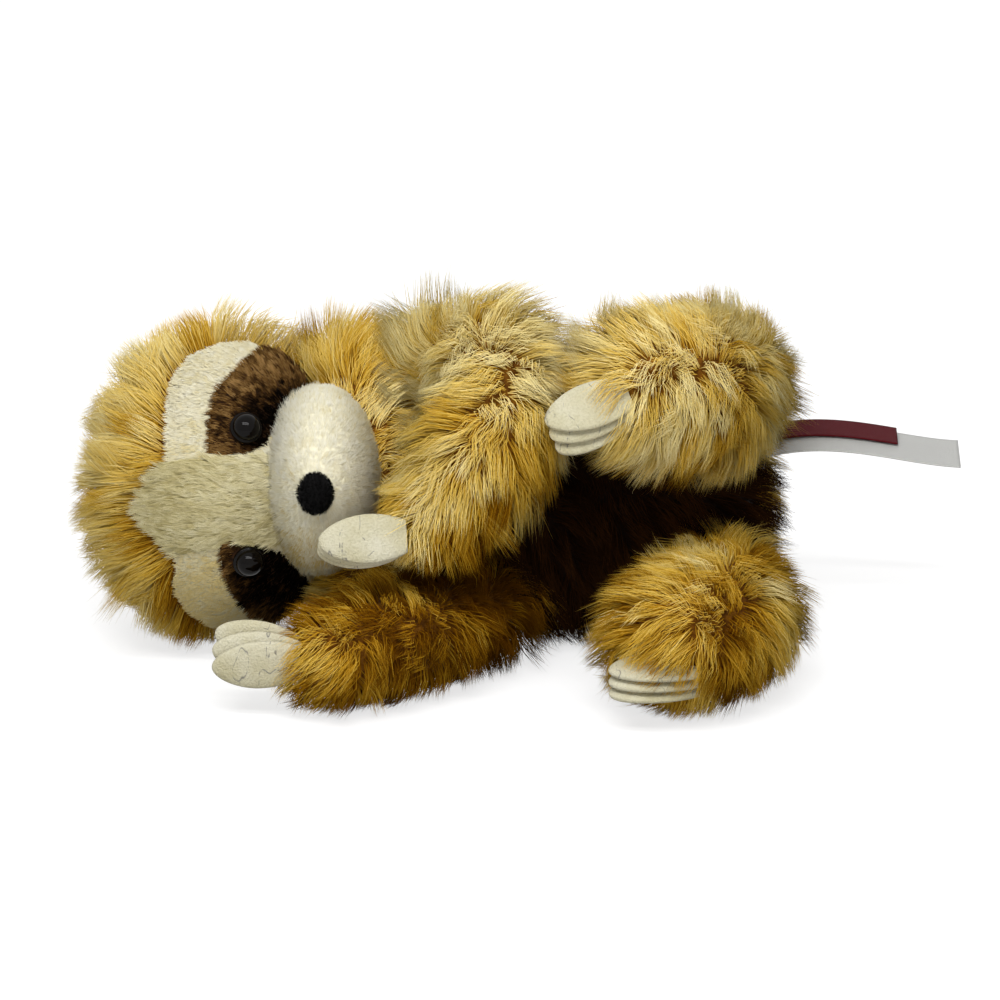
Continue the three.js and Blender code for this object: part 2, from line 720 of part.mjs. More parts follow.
// Head: hood halves, face panels, patches, muzzle, nose and eyes over the stuffing
function addHead(parent) {
  const eyes = [['left', faceSpot(eyeLeftShares)], ['right', faceSpot(eyeRightShares)]];
  const cavity = headEnvelope(longPile);
  const neckPocket = ball(neckPivot, neckRadius, fit);
  const patches = facePrism(patchLeftShares, fit).add(facePrism(patchRightShares, fit));
  const hood = headEnvelope(0).subtract(cavity).subtract(facePrism(faceShares, fit)).subtract(patches)
    .subtract(floor).subtract(neckPocket);
  const middle = headCentre.z;
  addPiece(parent, 'hood_left', hood.intersect(beyond('z', middle + fit / 2, 1)), materials.fur);
  addPiece(parent, 'hood_right', hood.intersect(beyond('z', middle - fit / 2, -1)), materials.fur);

  let face = headEnvelope(longPile - shortPile).subtract(cavity).subtract(neckPocket);
  for (const [, eye] of eyes) face = face.subtract(shankHole(eye));
  const strip = facePrism(stripShares, 0).subtract(patches);
  const around = facePrism(stripShares, fit).add(patches);
  addPiece(parent, 'forehead_strip', face.intersect(strip), materials.strip);
  for (const [side, shares] of [['left', faceLeftShares], ['right', faceRightShares]]) {
    addPiece(parent, `face_${side}`, face.intersect(facePrism(shares, 0)).subtract(around), materials.white);
  }
  addPiece(parent, 'eye_patch_left', face.intersect(facePrism(patchLeftShares, 0)), materials.patch);
  addPiece(parent, 'eye_patch_right', face.intersect(facePrism(patchRightShares, 0)), materials.patch);

  const muzzleBack = muzzleCentre.y - muzzleHalfDepth * muzzleBackShare;
  const muzzle = muzzleEnvelope(0).subtract(headEnvelope(-fit)).subtract(neckPocket)
    .subtract(beyond('y', muzzleBack, 1));
  addPiece(parent, 'muzzle', muzzle, materials.muzzle);
  const noseCentre = muzzleCentre.clone().add(placeFrom(nosePlaceShares, muzzleSizes));
  const noseSizes = [noseHalfLength, noseHalfDepth, noseHalfWidth];
  const nose = ellipsoid(noseCentre, ...noseSizes, smallSegments, smallSegments / 2);
  addPiece(parent, 'nose', nose.subtract(muzzleEnvelope(-fit)), materials.nose);

  let filling = headEnvelope(longPile + fit).subtract(neckPocket);
  for (const [side, eye] of eyes) {
    addPiece(parent, `eye_${side}`, eyeSolid(eye), materials.eye);
    addPiece(parent, `eye_washer_${side}`, washerSolid(eye), materials.washer);
    filling = filling.subtract(washerPocket(eye));
  }
  addPiece(parent, 'head_stuffing', filling, materials.stuffing);
}

// The spot on the rump over shares of the body's half depth and half width
function rumpSpot([front, left]) {
  const out = Math.hypot(front, left);
  const rump = bodyProfileShares.slice(bodyProfileShares.findIndex(([, radius]) => radius === 1));
  const index = rump.findIndex(([, radius]) => radius < out);
  const [nearAlong, nearOut] = rump[index - 1];
  const [farAlong, farOut] = rump[index];
  const along = nearAlong + ((farAlong - nearAlong) * (out - nearOut)) / (farOut - nearOut);
  return place(along * bodyHalfLength, front * bodyHalfDepth, left * bodyHalfWidth);
}

// Labels: flat strips with a slight wave that start at the rump and stand out from it
const labelSpot = place(0, labelPlaceShares[0] * bodyHalfDepth, labelPlaceShares[1] * bodyHalfWidth);
const labelAcross = place(0, -Math.sin(labelTilt), Math.cos(labelTilt));
const labelUp = place(0, Math.cos(labelTilt), Math.sin(labelTilt));
const labelWaveShares = [[0, 0], [0.3, 1], [0.6, 0.2], [0.85, -0.9], [1, -1.3]];
const careLabel = { length: careLabelLength, width: careLabelWidth, aside: 0, lift: 0 };
const wovenLabel = {
  length: wovenLabelLength,
  width: wovenLabelWidth,
  aside: careLabelWidth * wovenAsideShare,
  lift: labelSpacing,
};

// How far along the body a label starts, clear of the rump all along its edge
function labelStart(label) {
  const edge = Array.from({ length: labelSteps + 1 }, (_, step) => {
    const across = label.aside + label.width * (step / labelSteps - 1 / 2);
    const spot = labelSpot.clone().addScaledVector(labelAcross, across).addScaledVector(labelUp, label.lift);
    return rumpSpot([-spot.y / bodyHalfDepth, spot.z / bodyHalfWidth]).x;
  });
  return Math.max(...edge) + fit;
}

// Both labels lie along one wave, the shorter one over the longer one's first stretch
function labelLine(label) {
  const wave = careLabelLength * labelWaveShare;
  const line = labelWaveShares.map(([along, up]) => new THREE.Vector2(along * careLabelLength, up * wave));
  const curve = new THREE.SplineCurve(line);
  const share = label.length / careLabelLength;
  return Array.from({ length: labelSteps + 1 }, (_, step) => curve.getPoint((share * step) / labelSteps));
}

const labelsStart = Math.max(labelStart(careLabel), labelStart(wovenLabel));

function labelSolid(label) {
  const half = labelThickness / 2;
  const points = labelLine(label);
  const outline = [
    ...points.map((point) => new THREE.Vector2(point.x, point.y + half)),
    ...points.reverse().map((point) => new THREE.Vector2(point.x, point.y - half)),
  ];
  const settings = { depth: label.width, bevelEnabled: false };
  const geometry = new THREE.ExtrudeGeometry(new THREE.Shape(outline), settings);
  geometry.translate(labelsStart, label.lift, -label.aside - label.width / 2);
  const along = new THREE.Vector3(1, 0, 0);
  const basis = new THREE.Matrix4().makeBasis(along, labelUp, labelAcross.clone().negate());
  geometry.applyMatrix4(basis.setPosition(labelSpot));
  return solidOf(geometry);
}

function addLabels(parent) {
  const root = labelSpot.clone().setX(labelsStart);
  const group = pivotGroup(parent, root);
  addPiece(group, 'care_label', labelSolid(careLabel), materials.careLabel);
  addPiece(group, 'woven_label', labelSolid(wovenLabel), materials.wovenLabel);
}

// Tag: a card flat against the rump, on a headed plastic pin through its hole and the skin
const tagRoot = rumpSpot(tagPlaceShares);
const bodyHalfSizes = new THREE.Vector3(bodyHalfLength, bodyHalfDepth, bodyHalfWidth);
const tagNormal = tagRoot.clone().divide(bodyHalfSizes).divide(bodyHalfSizes).normalize();
const tagLift = highest(bodyEnvelope(0), tagNormal) - tagRoot.dot(tagNormal) + fit;
const tagDown = new THREE.Vector3(0, 0, 1).cross(tagNormal).normalize();
const tagSide = new THREE.Vector3().crossVectors(tagNormal, tagDown);

// How far a solid reaches along a direction
function highest(solid, direction) {
  const { position } = geometryOf(solid).attributes;
  const corner = new THREE.Vector3();
  let reach = -Infinity;
  for (let index = 0; index < position.count; index += 1) {
    reach = Math.max(reach, corner.fromBufferAttribute(position, index).dot(direction));
  }
  return reach;
}

function placedAtTag(geometry, lift) {
  const spot = tagRoot.clone().addScaledVector(tagNormal, lift);
  geometry.applyMatrix4(new THREE.Matrix4().makeBasis(tagDown, tagSide, tagNormal).setPosition(spot));
  return solidOf(geometry);
}

function tagSolid() {
  const left = -tagLength * tagRootShare;
  const right = left + tagLength;
  const half = tagWidth / 2;
  const round = tagCornerRadius;
  const shape = new THREE.Shape();
  shape.moveTo(left, half);
  shape.lineTo(left, -half);
  shape.lineTo(right - round, -half);
  shape.absarc(right - round, round - half, round, -Math.PI / 2, 0, false);
  shape.absarc(right - round, half - round, round, 0, Math.PI / 2, false);
  shape.holes.push(new THREE.Path().absarc(0, 0, fastenerRadius + fit, 0, 2 * Math.PI, true));
  const settings = { depth: tagThickness, bevelEnabled: false, curveSegments: tagCornerSteps };
  const geometry = new THREE.ExtrudeGeometry(shape, settings);
  return placedAtTag(geometry, tagLift);
}

function headedPin(clearance) {
  const radius = fastenerRadius + clearance;
  const top = tagLift + tagThickness + fit;
  const points = [
    [0, -fastenerDepth - clearance], [radius, -fastenerDepth - clearance], [radius, top],
    [fastenerHeadRadius, top], [fastenerHeadRadius, top + tagThickness], [0, top + tagThickness],
  ].map(([out, along]) => new THREE.Vector2(out, along));
  const geometry = new THREE.LatheGeometry(points, limbSides);
  geometry.rotateX(Math.PI / 2);
  return placedAtTag(geometry, 0);
}

function addTag(parent) {
  addPiece(parent, 'tag_fastener', headedPin(0), materials.fastener);
  const group = pivotGroup(parent, tagRoot);
  addPiece(group, 'hang_tag', tagSolid(), materials.tag);
}

const sloth = new THREE.Group();
const toy = new THREE.Group();
toy.userData.pivot = new THREE.Vector3();
toy.rotation.x = -rollBack;
sloth.add(toy);

addBody(toy);
addPiece(toy, 'back_ruff', backRuff(), materials.fur);
addLabels(toy);
addTag(toy);
for (const limb of limbs) addLimb(toy, limb);
const neck = pivotGroup(toy, neckPivot);
addPiece(neck, 'neck_core', ball(neckPivot, neckRadius), materials.fur);
addPiece(neck, 'neck_ruff', neckRuff(), materials.fur);
const head = pivotGroup(neck, neckPivot);
addHead(head);

// Origin on the floor, under the middle of the toy's box
toy.position.z = originHeight;
const box = new THREE.Box3().setFromObject(sloth, true);
const centre = box.getCenter(new THREE.Vector3());
toy.position.x = -centre.x;
toy.position.y = -centre.y;

export default sloth;
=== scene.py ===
"""Looks of a stuffed toy sloth that lies on its right side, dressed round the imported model."""

import json

import bpy
import numpy as np
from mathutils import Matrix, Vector


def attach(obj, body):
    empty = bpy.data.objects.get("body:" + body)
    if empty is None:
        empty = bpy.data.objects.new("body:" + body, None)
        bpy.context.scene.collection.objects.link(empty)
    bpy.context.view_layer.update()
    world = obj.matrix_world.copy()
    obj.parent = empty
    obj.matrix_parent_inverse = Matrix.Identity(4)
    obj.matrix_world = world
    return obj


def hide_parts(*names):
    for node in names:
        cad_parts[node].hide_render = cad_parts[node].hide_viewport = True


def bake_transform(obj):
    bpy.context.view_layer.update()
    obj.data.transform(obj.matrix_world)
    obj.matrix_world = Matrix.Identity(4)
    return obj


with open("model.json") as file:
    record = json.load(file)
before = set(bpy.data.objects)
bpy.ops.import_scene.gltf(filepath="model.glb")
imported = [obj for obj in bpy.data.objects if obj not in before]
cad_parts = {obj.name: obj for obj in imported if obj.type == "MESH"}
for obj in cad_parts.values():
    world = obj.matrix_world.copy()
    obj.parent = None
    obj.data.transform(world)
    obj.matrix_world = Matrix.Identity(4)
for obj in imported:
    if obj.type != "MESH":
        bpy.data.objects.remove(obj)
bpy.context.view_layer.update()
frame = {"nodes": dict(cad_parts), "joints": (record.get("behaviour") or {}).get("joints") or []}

# Lengths below are millimetres; a finished mesh is in metres.
MM = 0.001
ROLL = np.radians(20)
ALONG = np.array([1.0, 0.0, 0.0])
FRONT = np.array([0.0, -np.cos(ROLL), np.sin(ROLL)])
LEFT = np.array([0.0, np.sin(ROLL), np.cos(ROLL)])
AXES = np.stack([ALONG, FRONT, LEFT])
DOWN = np.array([0.0, 0.0, -1.0])

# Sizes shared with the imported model
BODY_HALVES = np.array([63.5, 36.0, 43.0])
BODY_PROFILE = np.array([
    [-0.93, 0.36], [-0.78, 0.6], [-0.52, 0.81], [-0.24, 0.94], [0.04, 1],
    [0.35, 0.975], [0.62, 0.86], [0.82, 0.65], [0.95, 0.36],
])
BELLY_LENGTH_SHARE, BELLY_WIDTH_SHARE = 0.9, 0.84
HEAD_HALVES = np.array([43.5, 45.0, 52.0])
HEAD_PLACE = np.array([-115.5, 10.0, 5.93])
NECK_PLACE = np.array([-67.75, 6.0, 2.965])
RUFF_PLACE, RUFF_HALVES = NECK_PLACE + np.array([0.0, -2.0, 4.0]), np.array([27.0, 35.0, 49.0])
RUFF_DIVIDE = NECK_PLACE[0] + 5.2
MUZZLE_SHARES = np.array([0.77, 0.53, 0.04])
MUZZLE_HALVES = np.array([19.0, 36.0, 31.0])
NOSE_SHARES = np.array([-0.09, 0.985, -0.14])
NOSE_HALVES = np.array([6.0, 4.0, 7.0])
EYE_SHARES = {"left": (0.22, 0.365), "right": (0.24, -0.476)}
EYE_RADIUS = 5.0
LONG_PILE, SHORT_PILE, REST_DEPTH = 6.0, 4.0, 0.5

# Outlines of the face panels, as shares of the head's half length and half width
STRIP = [
    (-0.6, -0.14), (-0.46, 0.07), (-0.36, 0.15), (0.4, 0.19), (0.6, 0.1), (0.6, -0.3),
    (0.42, -0.36), (0.02, -0.38), (-0.3, -0.43), (-0.46, -0.3),
]
FACE = [
    (-0.6, -0.14), (-0.46, 0.07), (-0.36, 0.15), (-0.37, 0.4), (-0.34, 0.64), (-0.2, 0.8),
    (0.02, 0.87), (0.22, 0.88), (0.42, 0.79), (0.6, 0.65), (0.72, 0.4), (0.76, 0), (0.72, -0.5),
    (0.62, -0.7), (0.42, -0.84), (0.2, -0.89), (-0.04, -0.87), (-0.2, -0.79), (-0.31, -0.66),
    (-0.3, -0.43), (-0.46, -0.3),
]
PATCH_LEFT = [
    (-0.06, 0.2), (-0.05, 0.42), (-0.01, 0.58), (0.09, 0.68), (0.2, 0.77), (0.34, 0.85),
    (0.46, 0.81), (0.64, 0.67), (0.6, 0.52), (0.45, 0.36), (0.36, 0.24), (0.22, 0.19), (0.06, 0.18),
]
PATCH_RIGHT = [
    (0.02, -0.37), (0.1, -0.34), (0.34, -0.35), (0.5, -0.42), (0.62, -0.52), (0.7, -0.62),
    (0.6, -0.75), (0.4, -0.83), (0.24, -0.8), (0.12, -0.68), (0.04, -0.52),
]

# Limbs: root on the body, reach, radius, and the spine and fullness as shares of them. Where a
# spine's place has two numbers, the limb rests on the floor there. The claws stand at shares of the
# limb's end radius, moved by millimetres, and fan out by degrees.
LIMBS = {
    "arm_left": dict(
        root=(-0.65, 0.33, 0.62), reach=60, radius=22, fullness=(0.73, 0.91, 1, 0.97, 0.78),
        spine=[
            (0, 0, 0), (-0.04, 0.22, 0.3), (0.3, 0.56, 0.42), (0.32, 0.98, -0.08),
            (-0.07, 0.9, -0.5),
        ],
        claws=dict(
            start=(-0.45, 0.66, -0.2), moved=(-2, -2, -3), point=(-1, 0.12, -0.12),
            face=(0, 1, 0.03), fan=3,
        ),
    ),
    "arm_right": dict(
        root=(-0.34, 0.33, -0.7), reach=60, radius=22, fullness=(0.64, 0.88, 0.96, 0.82),
        spine=[(0, 0), (-0.3, 0.4), (-0.63, 0.7), (-0.95, 0.85)],
        claws=dict(
            start=(-0.55, 0.3, 0.02), moved=(0, -2, 0), point=(-1, 0.04, 0.1),
            face=(0, 1, -0.3), fan=-10,
        ),
    ),
    "leg_left": dict(
        root=(0.605, 0.28, 0.745), reach=60, radius=27, fullness=(0.66, 0.96, 1, 0.88),
        spine=[(0, 0, 0), (0.1, 0.37, 0.13), (0.03, 0.77, 0.08), (-0.27, 0.9, 0.07)],
        claws=dict(
            start=(-0.14, 0.73, -0.06), moved=(-4, -5, -1), point=(-1, 0.2, -0.5),
            face=(-0.1, 1, 0.35), fan=8,
        ),
    ),
    "leg_right": dict(
        root=(0.605, 0.33, -0.68), reach=60, radius=27, fullness=(0.62, 0.89, 0.96, 0.92),
        spine=[(0, 0), (0.2, 0.37), (0.15, 0.73), (-0.12, 0.87)],
        claws=dict(
            start=(0.2, 0.64, -0.49), moved=(0, -4, 0), point=(-1, 0.16, -0.06),
            face=(0, 0.55, 0.83), fan=3,
        ),
    ),
}
CLAW_LENGTH, CLAW_WIDTH, CLAW_THICKNESS, CLAW_SPACING = 28.0, 15.0, 3.0, 0.5

JOINTS = {joint["name"]: joint for joint in frame["joints"]}
ORIGIN = np.array(JOINTS["neck_turn"]["pos_m"]) / MM - NECK_PLACE @ AXES


def toy(places):
    """Row-frame points from (along, front, left): the origin plus each part times its axis."""
    return ORIGIN + np.asarray(places, float) @ AXES


def toy_places(points):
    """(along, front, left) of row-frame points: their offsets measured on the three axes."""
    return (points - ORIGIN) @ AXES.T


def unit(vectors):
    """Vectors divided by their own lengths."""
    return vectors / np.maximum(np.linalg.norm(vectors, axis=-1, keepdims=True), 1e-9)


HEAD_CENTRE = toy(HEAD_PLACE)
MUZZLE_CENTRE = toy(HEAD_PLACE + HEAD_HALVES * MUZZLE_SHARES)
NOSE_CENTRE = MUZZLE_CENTRE + (MUZZLE_HALVES * NOSE_SHARES) @ AXES


# Shapes

def turned_rings(rings, sides, fullness=1.0):
    """Shares of three half sizes: the cosine of the ring's angle, and its sine times a fullness,
    turned round by cosine and sine of the turn."""
    ring = np.linspace(0, np.pi, rings + 1)[:, None]
    turn = np.linspace(0, 2 * np.pi, sides, endpoint=False)[None]
    along = np.cos(ring)
    wide = np.sin(ring) * (np.polyval(fullness, along) if np.ndim(fullness) else fullness)
    return np.stack([along + 0 * turn, wide * np.cos(turn), wide * np.sin(turn)], -1)


def ellipsoid_grid(centre, halves, rings=64, sides=96):
    """An ellipsoid: rings of even angle round its long axis, times its half sizes."""
    return centre + (turned_rings(rings, sides) * halves) @ AXES


# The body's fullness against that of an ellipsoid, as a cubic of the place along its spine
PEAR = np.polyfit(BODY_PROFILE[:, 0], BODY_PROFILE[:, 1] / np.sqrt(1 - BODY_PROFILE[:, 0] ** 2), 3)


def body_grid(inset):
    """A pear: the ellipsoid's rings, each widened by a cubic of its place along the spine."""
    return toy(turned_rings(72, 96, PEAR) * (BODY_HALVES - inset))


def resting_left(front, below):
    """How far to the left a centre lies whose lowest point is that far below it, on the floor."""
    return (below - REST_DEPTH - ORIGIN[2] - front * np.sin(ROLL)) / np.cos(ROLL)


def spline(points, steps):
    """A cubic B-spline that starts and ends on its end points, cut into steps of equal length."""
    count = len(points)
    knots = np.concatenate([[0] * 3, np.linspace(0, 1, count - 2), [1] * 3])
    at = np.linspace(0, 1 - 1e-9, 400)[:, None]
    basis = ((knots[:-1] <= at) & (at < knots[1:])).astype(float)
    for degree in (1, 2, 3):
        rise = knots[degree:-1] - knots[:-1 - degree]
        fall = knots[degree + 1:] - knots[1:-degree]
        up = np.where(rise > 0, (at - knots[:-1 - degree]) / np.where(rise > 0, rise, 1), 0)
        down = np.where(fall > 0, (knots[degree + 1:] - at) / np.where(fall > 0, fall, 1), 0)
        basis = up * basis[:, :-1] + down * basis[:, 1:]
    line = basis @ points
    length = np.concatenate([[0], np.cumsum(np.linalg.norm(np.diff(line, axis=0), axis=1))])
    even = np.linspace(0, length[-1], steps + 1)
    return np.stack([np.interp(even, length, line[:, axis]) for axis in range(3)], -1)


def carried_frames(line):
    """Tangents of a line, and for each point a side direction, turned as little as possible from
    the last by taking away its part along the tangent."""
    tangents = unit(np.gradient(line, axis=0))
    side = unit(np.cross(tangents[0], ALONG + 0.01 * FRONT))
    sides = []
    for tangent in tangents:
        side = unit(side - tangent * (side @ tangent))
        sides.append(side)
    return tangents, np.array(sides)


def limb_spine(name, steps=60):
    """The limb's middle line, and its radius by a smooth step from each stated one to the next."""
    limb = LIMBS[name]
    root = np.array(limb["root"]) * BODY_HALVES
    radii = np.array(limb["fullness"]) * limb["radius"]
    places = [root]
    for shares, radius in zip(limb["spine"][1:], radii[1:]):
        place = root + np.resize(np.array(shares, float), 3) * limb["reach"]
        if len(shares) == 2:
            place[2] = resting_left(place[1], radius)
        places.append(place)
    line = spline(toy(places), steps)
    scaled = np.linspace(0, 1, steps + 1) * (len(radii) - 1)
    index = np.minimum(scaled.astype(int), len(radii) - 2)
    local = scaled - index
    radius = radii[index] + (radii[index + 1] - radii[index]) * local * local * (3 - 2 * local)
    return line, radius


def tube_grid(line, radius, sides=64, cap_rings=10):
    """Circles square to a line, closed at both ends by a half ball: the ring angle runs from the
    pole to the rim."""
    tangents, side = carried_frames(line)
    angle = np.linspace(0, np.pi / 2, cap_rings, endpoint=False)
    first = line[0] - np.outer(np.cos(angle), tangents[0]) * radius[0]
    last = (line[-1] + np.outer(np.cos(angle), tangents[-1]) * radius[-1])[::-1]
    centres = np.concatenate([first, line, last])
    radii = np.concatenate([np.sin(angle) * radius[0], radius, (np.sin(angle) * radius[-1])[::-1]])
    tangents, side = (
        np.concatenate([np.tile(v[0], (cap_rings, 1)), v, np.tile(v[-1], (cap_rings, 1))])
        for v in (tangents, side)
    )
    other = np.cross(tangents, side)
    turn = np.linspace(0, 2 * np.pi, sides, endpoint=False)[None, :, None]
    out = np.cos(turn) * side[:, None] + np.sin(turn) * other[:, None]
    return centres[:, None] + radii[:, None, None] * out


def lumps(points, amount, size):
    """A soft unevenness of about the amount up and down: the mean of five sine waves that cross at
    odd angles, each about as long as the size."""
    draw = np.random.default_rng(5)
    waves = unit(draw.normal(size=(5, 3))) * 2 * np.pi / (size * draw.uniform(0.7, 1.4, (5, 1)))
    return amount * np.sin(points @ waves.T + draw.uniform(0, 6, 5)).mean(-1) * 1.6


def swollen(grid, amount, size):
    """A grid whose points move out from their ring's middle by the soft unevenness."""
    return grid + unit(grid - grid.mean(1, keepdims=True)) * lumps(grid, amount, size)[..., None]


# Meshes

MAP = "OFBake"


def mesh_piece(name, points, faces, look, uv=None, normals=None):
    """An object from points in millimetres and faces as rows of three or four numbers, with a map
    and the directions that light meets if they are given."""
    loops = np.concatenate([np.ravel(rows) for rows in faces]).astype(np.int32)
    totals = np.concatenate([np.full(len(rows), rows.shape[1]) for rows in faces]).astype(np.int32)
    starts = np.concatenate([[0], np.cumsum(totals)[:-1]]).astype(np.int32)
    mesh = bpy.data.meshes.new(name)
    mesh.vertices.add(len(points))
    mesh.vertices.foreach_set("co", (points * MM).astype(np.float32).ravel())
    mesh.loops.add(len(loops))
    mesh.loops.foreach_set("vertex_index", loops)
    mesh.polygons.add(len(totals))
    mesh.polygons.foreach_set("loop_start", starts)
    mesh.polygons.foreach_set("loop_total", totals)
    mesh.update(calc_edges=True)
    mesh.polygons.foreach_set("use_smooth", np.full(len(totals), True))
    if uv is not None:
        layer = mesh.uv_layers.new(name=MAP)
        layer.data.foreach_set("uv", uv[loops].astype(np.float32).ravel())
    if normals is not None:
        mesh.normals_split_custom_set_from_vertices(normals)
    mesh.materials.append(look)
    piece = bpy.data.objects.new(name, mesh)
    bpy.context.scene.collection.objects.link(piece)
    return piece


def ring_faces(rings, sides):
    """Quads between neighbouring rings of a closed turn."""
    ring, side = np.meshgrid(np.arange(rings - 1), np.arange(sides), indexing="ij")
    here, beside = ring * sides + side, ring * sides + (side + 1) % sides
    return np.stack([here, beside, beside + sides, here + sides], -1).reshape(-1, 4)


def closed_piece(name, grid, look):
    """A closed surface from a grid whose first and last rings are each one point. Its faces point
    outwards: they are turned round if the volume, summed over its triangles, is below zero."""
    rings, sides = grid.shape[0] - 2, grid.shape[1]
    points = np.concatenate([grid[1:-1].reshape(-1, 3), grid[:1].mean(1), grid[-1:].mean(1)])
    quads = ring_faces(rings, sides)
    side = np.arange(sides)
    beside, pole = (side + 1) % sides, rings * sides
    last = (rings - 1) * sides
    tips = np.concatenate([
        np.stack([np.full(sides, pole), beside, side], -1),
        np.stack([np.full(sides, pole + 1), last + side, last + beside], -1),
    ])
    centred = points - points.mean(0)
    volume = sum(
        np.einsum("ij,ij->i", centred[t[:, 0]], np.cross(centred[t[:, 1]], centred[t[:, 2]])).sum()
        for t in (quads[:, [0, 1, 2]], quads[:, [0, 2, 3]], tips)
    )
    if volume < 0:
        quads, tips = quads[:, ::-1], tips[:, ::-1]
    return mesh_piece(name, points, [quads, tips], look)


# Materials

BLACK, WHITE = (0, 0, 0, 1), (1, 1, 1, 1)


def colour(red, green, blue):
    """Linear colour from one written on the screen's scale of 0 to 255."""
    share = np.array([red, green, blue]) / 255
    linear = np.where(share <= 0.04045, share / 12.92, ((share + 0.055) / 1.055) ** 2.4)
    return (*linear.tolist(), 1.0)


def put(tree, socket, value):
    """Links an input to an output, or gives it a value."""
    if isinstance(value, bpy.types.NodeSocket):
        tree.links.new(value, socket)
    else:
        socket.default_value = value


def add_node(tree, kind, **sockets):
    """A shader node with its named inputs linked or set."""
    node = tree.nodes.new("ShaderNode" + kind)
    for name, value in sockets.items():
        put(tree, node.inputs[name], value)
    return node


def new_material(name, roughness, specular=0.3, sheen=0.0):
    """A material with its constants on the shader's own sockets. Gives its tree and shader too."""
    material = bpy.data.materials.new(name)
    material.use_nodes = True
    tree = material.node_tree
    shader = tree.nodes["Principled BSDF"]
    put(tree, shader.inputs["Roughness"], roughness)
    put(tree, shader.inputs["Specular IOR Level"], specular)
    put(tree, shader.inputs["Sheen Weight"], sheen)
    put(tree, shader.inputs["Sheen Roughness"], 0.4)
    return material, tree, shader


def add_ramp(tree, source, stops):
    """A colour ramp over a source socket, through stops of (place, colour)."""
    ramp = add_node(tree, "ValToRGB", Fac=source)
    elements = ramp.color_ramp.elements
    while len(elements) < len(stops):
        elements.new(1.0)
    for element, (place, tone) in zip(elements, stops):
        element.position = place
        element.color = tone
    return ramp.outputs["Color"]


def add_mix(tree, kind, factor, first, second):
    """Two colours mixed in a given way; each of the three may be a socket or a value."""
    mix = add_node(tree, "Mix")
    mix.data_type = "RGBA"
    mix.blend_type = kind
    for number, value in ((0, factor), (6, first), (7, second)):
        put(tree, mix.inputs[number], value)
    return mix.outputs[2]


def add_map(tree):
    """The piece's own map."""
    source = add_node(tree, "UVMap")
    source.uv_map = MAP
    return source.outputs["UV"]


def add_noise(tree, scale, detail=3.0, roughness=0.5, stretch=(1, 1, 1), mapped=False):
    """Noise over the object's own coordinates in metres, or over the piece's map."""
    place = add_map(tree) if mapped else add_node(tree, "TexCoord").outputs["Object"]
    place = add_node(tree, "Mapping", Vector=place, Scale=stretch).outputs["Vector"]
    noise = add_node(
        tree, "TexNoise", Vector=place, Scale=scale, Detail=detail, Roughness=roughness,
    )
    return noise.outputs["Fac"]


def add_two_tones(tree, shader, source, dark, light, low=0.3, high=0.7):
    """The shader's colour from one tone to another over a range of a source."""
    tones = add_ramp(tree, source, [(low, colour(*dark)), (high, colour(*light))])
    put(tree, shader.inputs["Base Color"], tones)


def add_bump(tree, shader, height, distance):
    """Relief of a given depth in metres on the shader."""
    bump = add_node(tree, "Bump", Height=height, Distance=distance, Strength=1.0)
    put(tree, shader.inputs["Normal"], bump.outputs["Normal"])


def pile_material(name, tones, root, middle, place=0.5):
    """Fibres: the tone follows the map across, and each fibre deepens to its root down the map, a
    painted shade of the pile's depth.
    """
    material, tree, shader = new_material(name, 0.85, 0.02)
    split = add_node(tree, "SeparateXYZ", Vector=add_map(tree))
    places = np.linspace(0.08, 0.92, len(tones))
    tint = add_ramp(tree, split.outputs["X"], [(p, colour(*t)) for p, t in zip(places, tones)])
    # Painted shade: each fibre darkens, and warms, towards its root
    shade = add_ramp(tree, split.outputs["Y"], [
        (0.0, (*root, 1)), (place, (*middle, 1)), (1.0, WHITE),
    ])
    put(tree, shader.inputs["Base Color"], add_mix(tree, "MULTIPLY", 1.0, tint, shade))
    return material


def backing_material(name, dark, light):
    """Knitted backing that shows between the fibres: two tones of fine noise and a fine bump."""
    material, tree, shader = new_material(name, 0.95, 0.15, 0.1)
    noise = add_noise(tree, 450.0)
    add_two_tones(tree, shader, noise, dark, light, 0.35, 0.65)
    add_bump(tree, shader, noise, 0.0006)
    return material


# The root and middle colours below darken each pile's fibres towards their roots as painted shade
fur_gold = pile_material(
    "fur_gold",
    [(108, 68, 6), (168, 120, 20), (210, 166, 52), (234, 200, 96), (247, 223, 142),
     (254, 240, 184)],
    (0.56, 0.43, 0.17), (0.92, 0.85, 0.64), 0.45,
)
fur_belly = pile_material(
    "fur_belly", [(12, 5, 1), (30, 15, 4), (64, 38, 14)], (0.5, 0.45, 0.4), (0.88, 0.88, 0.88), 0.4,
)
plush_white = pile_material(
    "plush_white", [(226, 206, 144), (230, 220, 180), (236, 229, 200), (242, 238, 217)],
    (0.93, 0.9, 0.8), (0.98, 0.97, 0.94),
)
plush_beige = pile_material(
    "plush_beige", [(176, 162, 108), (206, 194, 144), (226, 217, 174), (242, 235, 202)],
    (0.8, 0.77, 0.66), (0.95, 0.94, 0.9),
)
plush_brown = pile_material(
    "plush_brown", [(3, 2, 1), (16, 10, 5), (74, 50, 24), (124, 92, 50), (164, 128, 78)],
    (0.6, 0.55, 0.45), (0.85, 0.85, 0.85),
)
plush_muzzle = pile_material(
    "plush_muzzle", [(214, 192, 128), (230, 222, 188), (234, 230, 208), (239, 236, 220)],
    (0.93, 0.91, 0.82), (0.98, 0.97, 0.95),
)
flock_black = pile_material(
    "flock_black", [(3, 3, 3), (8, 8, 7), (18, 17, 16)], (0.5, 0.5, 0.5), (0.8, 0.8, 0.8),
)
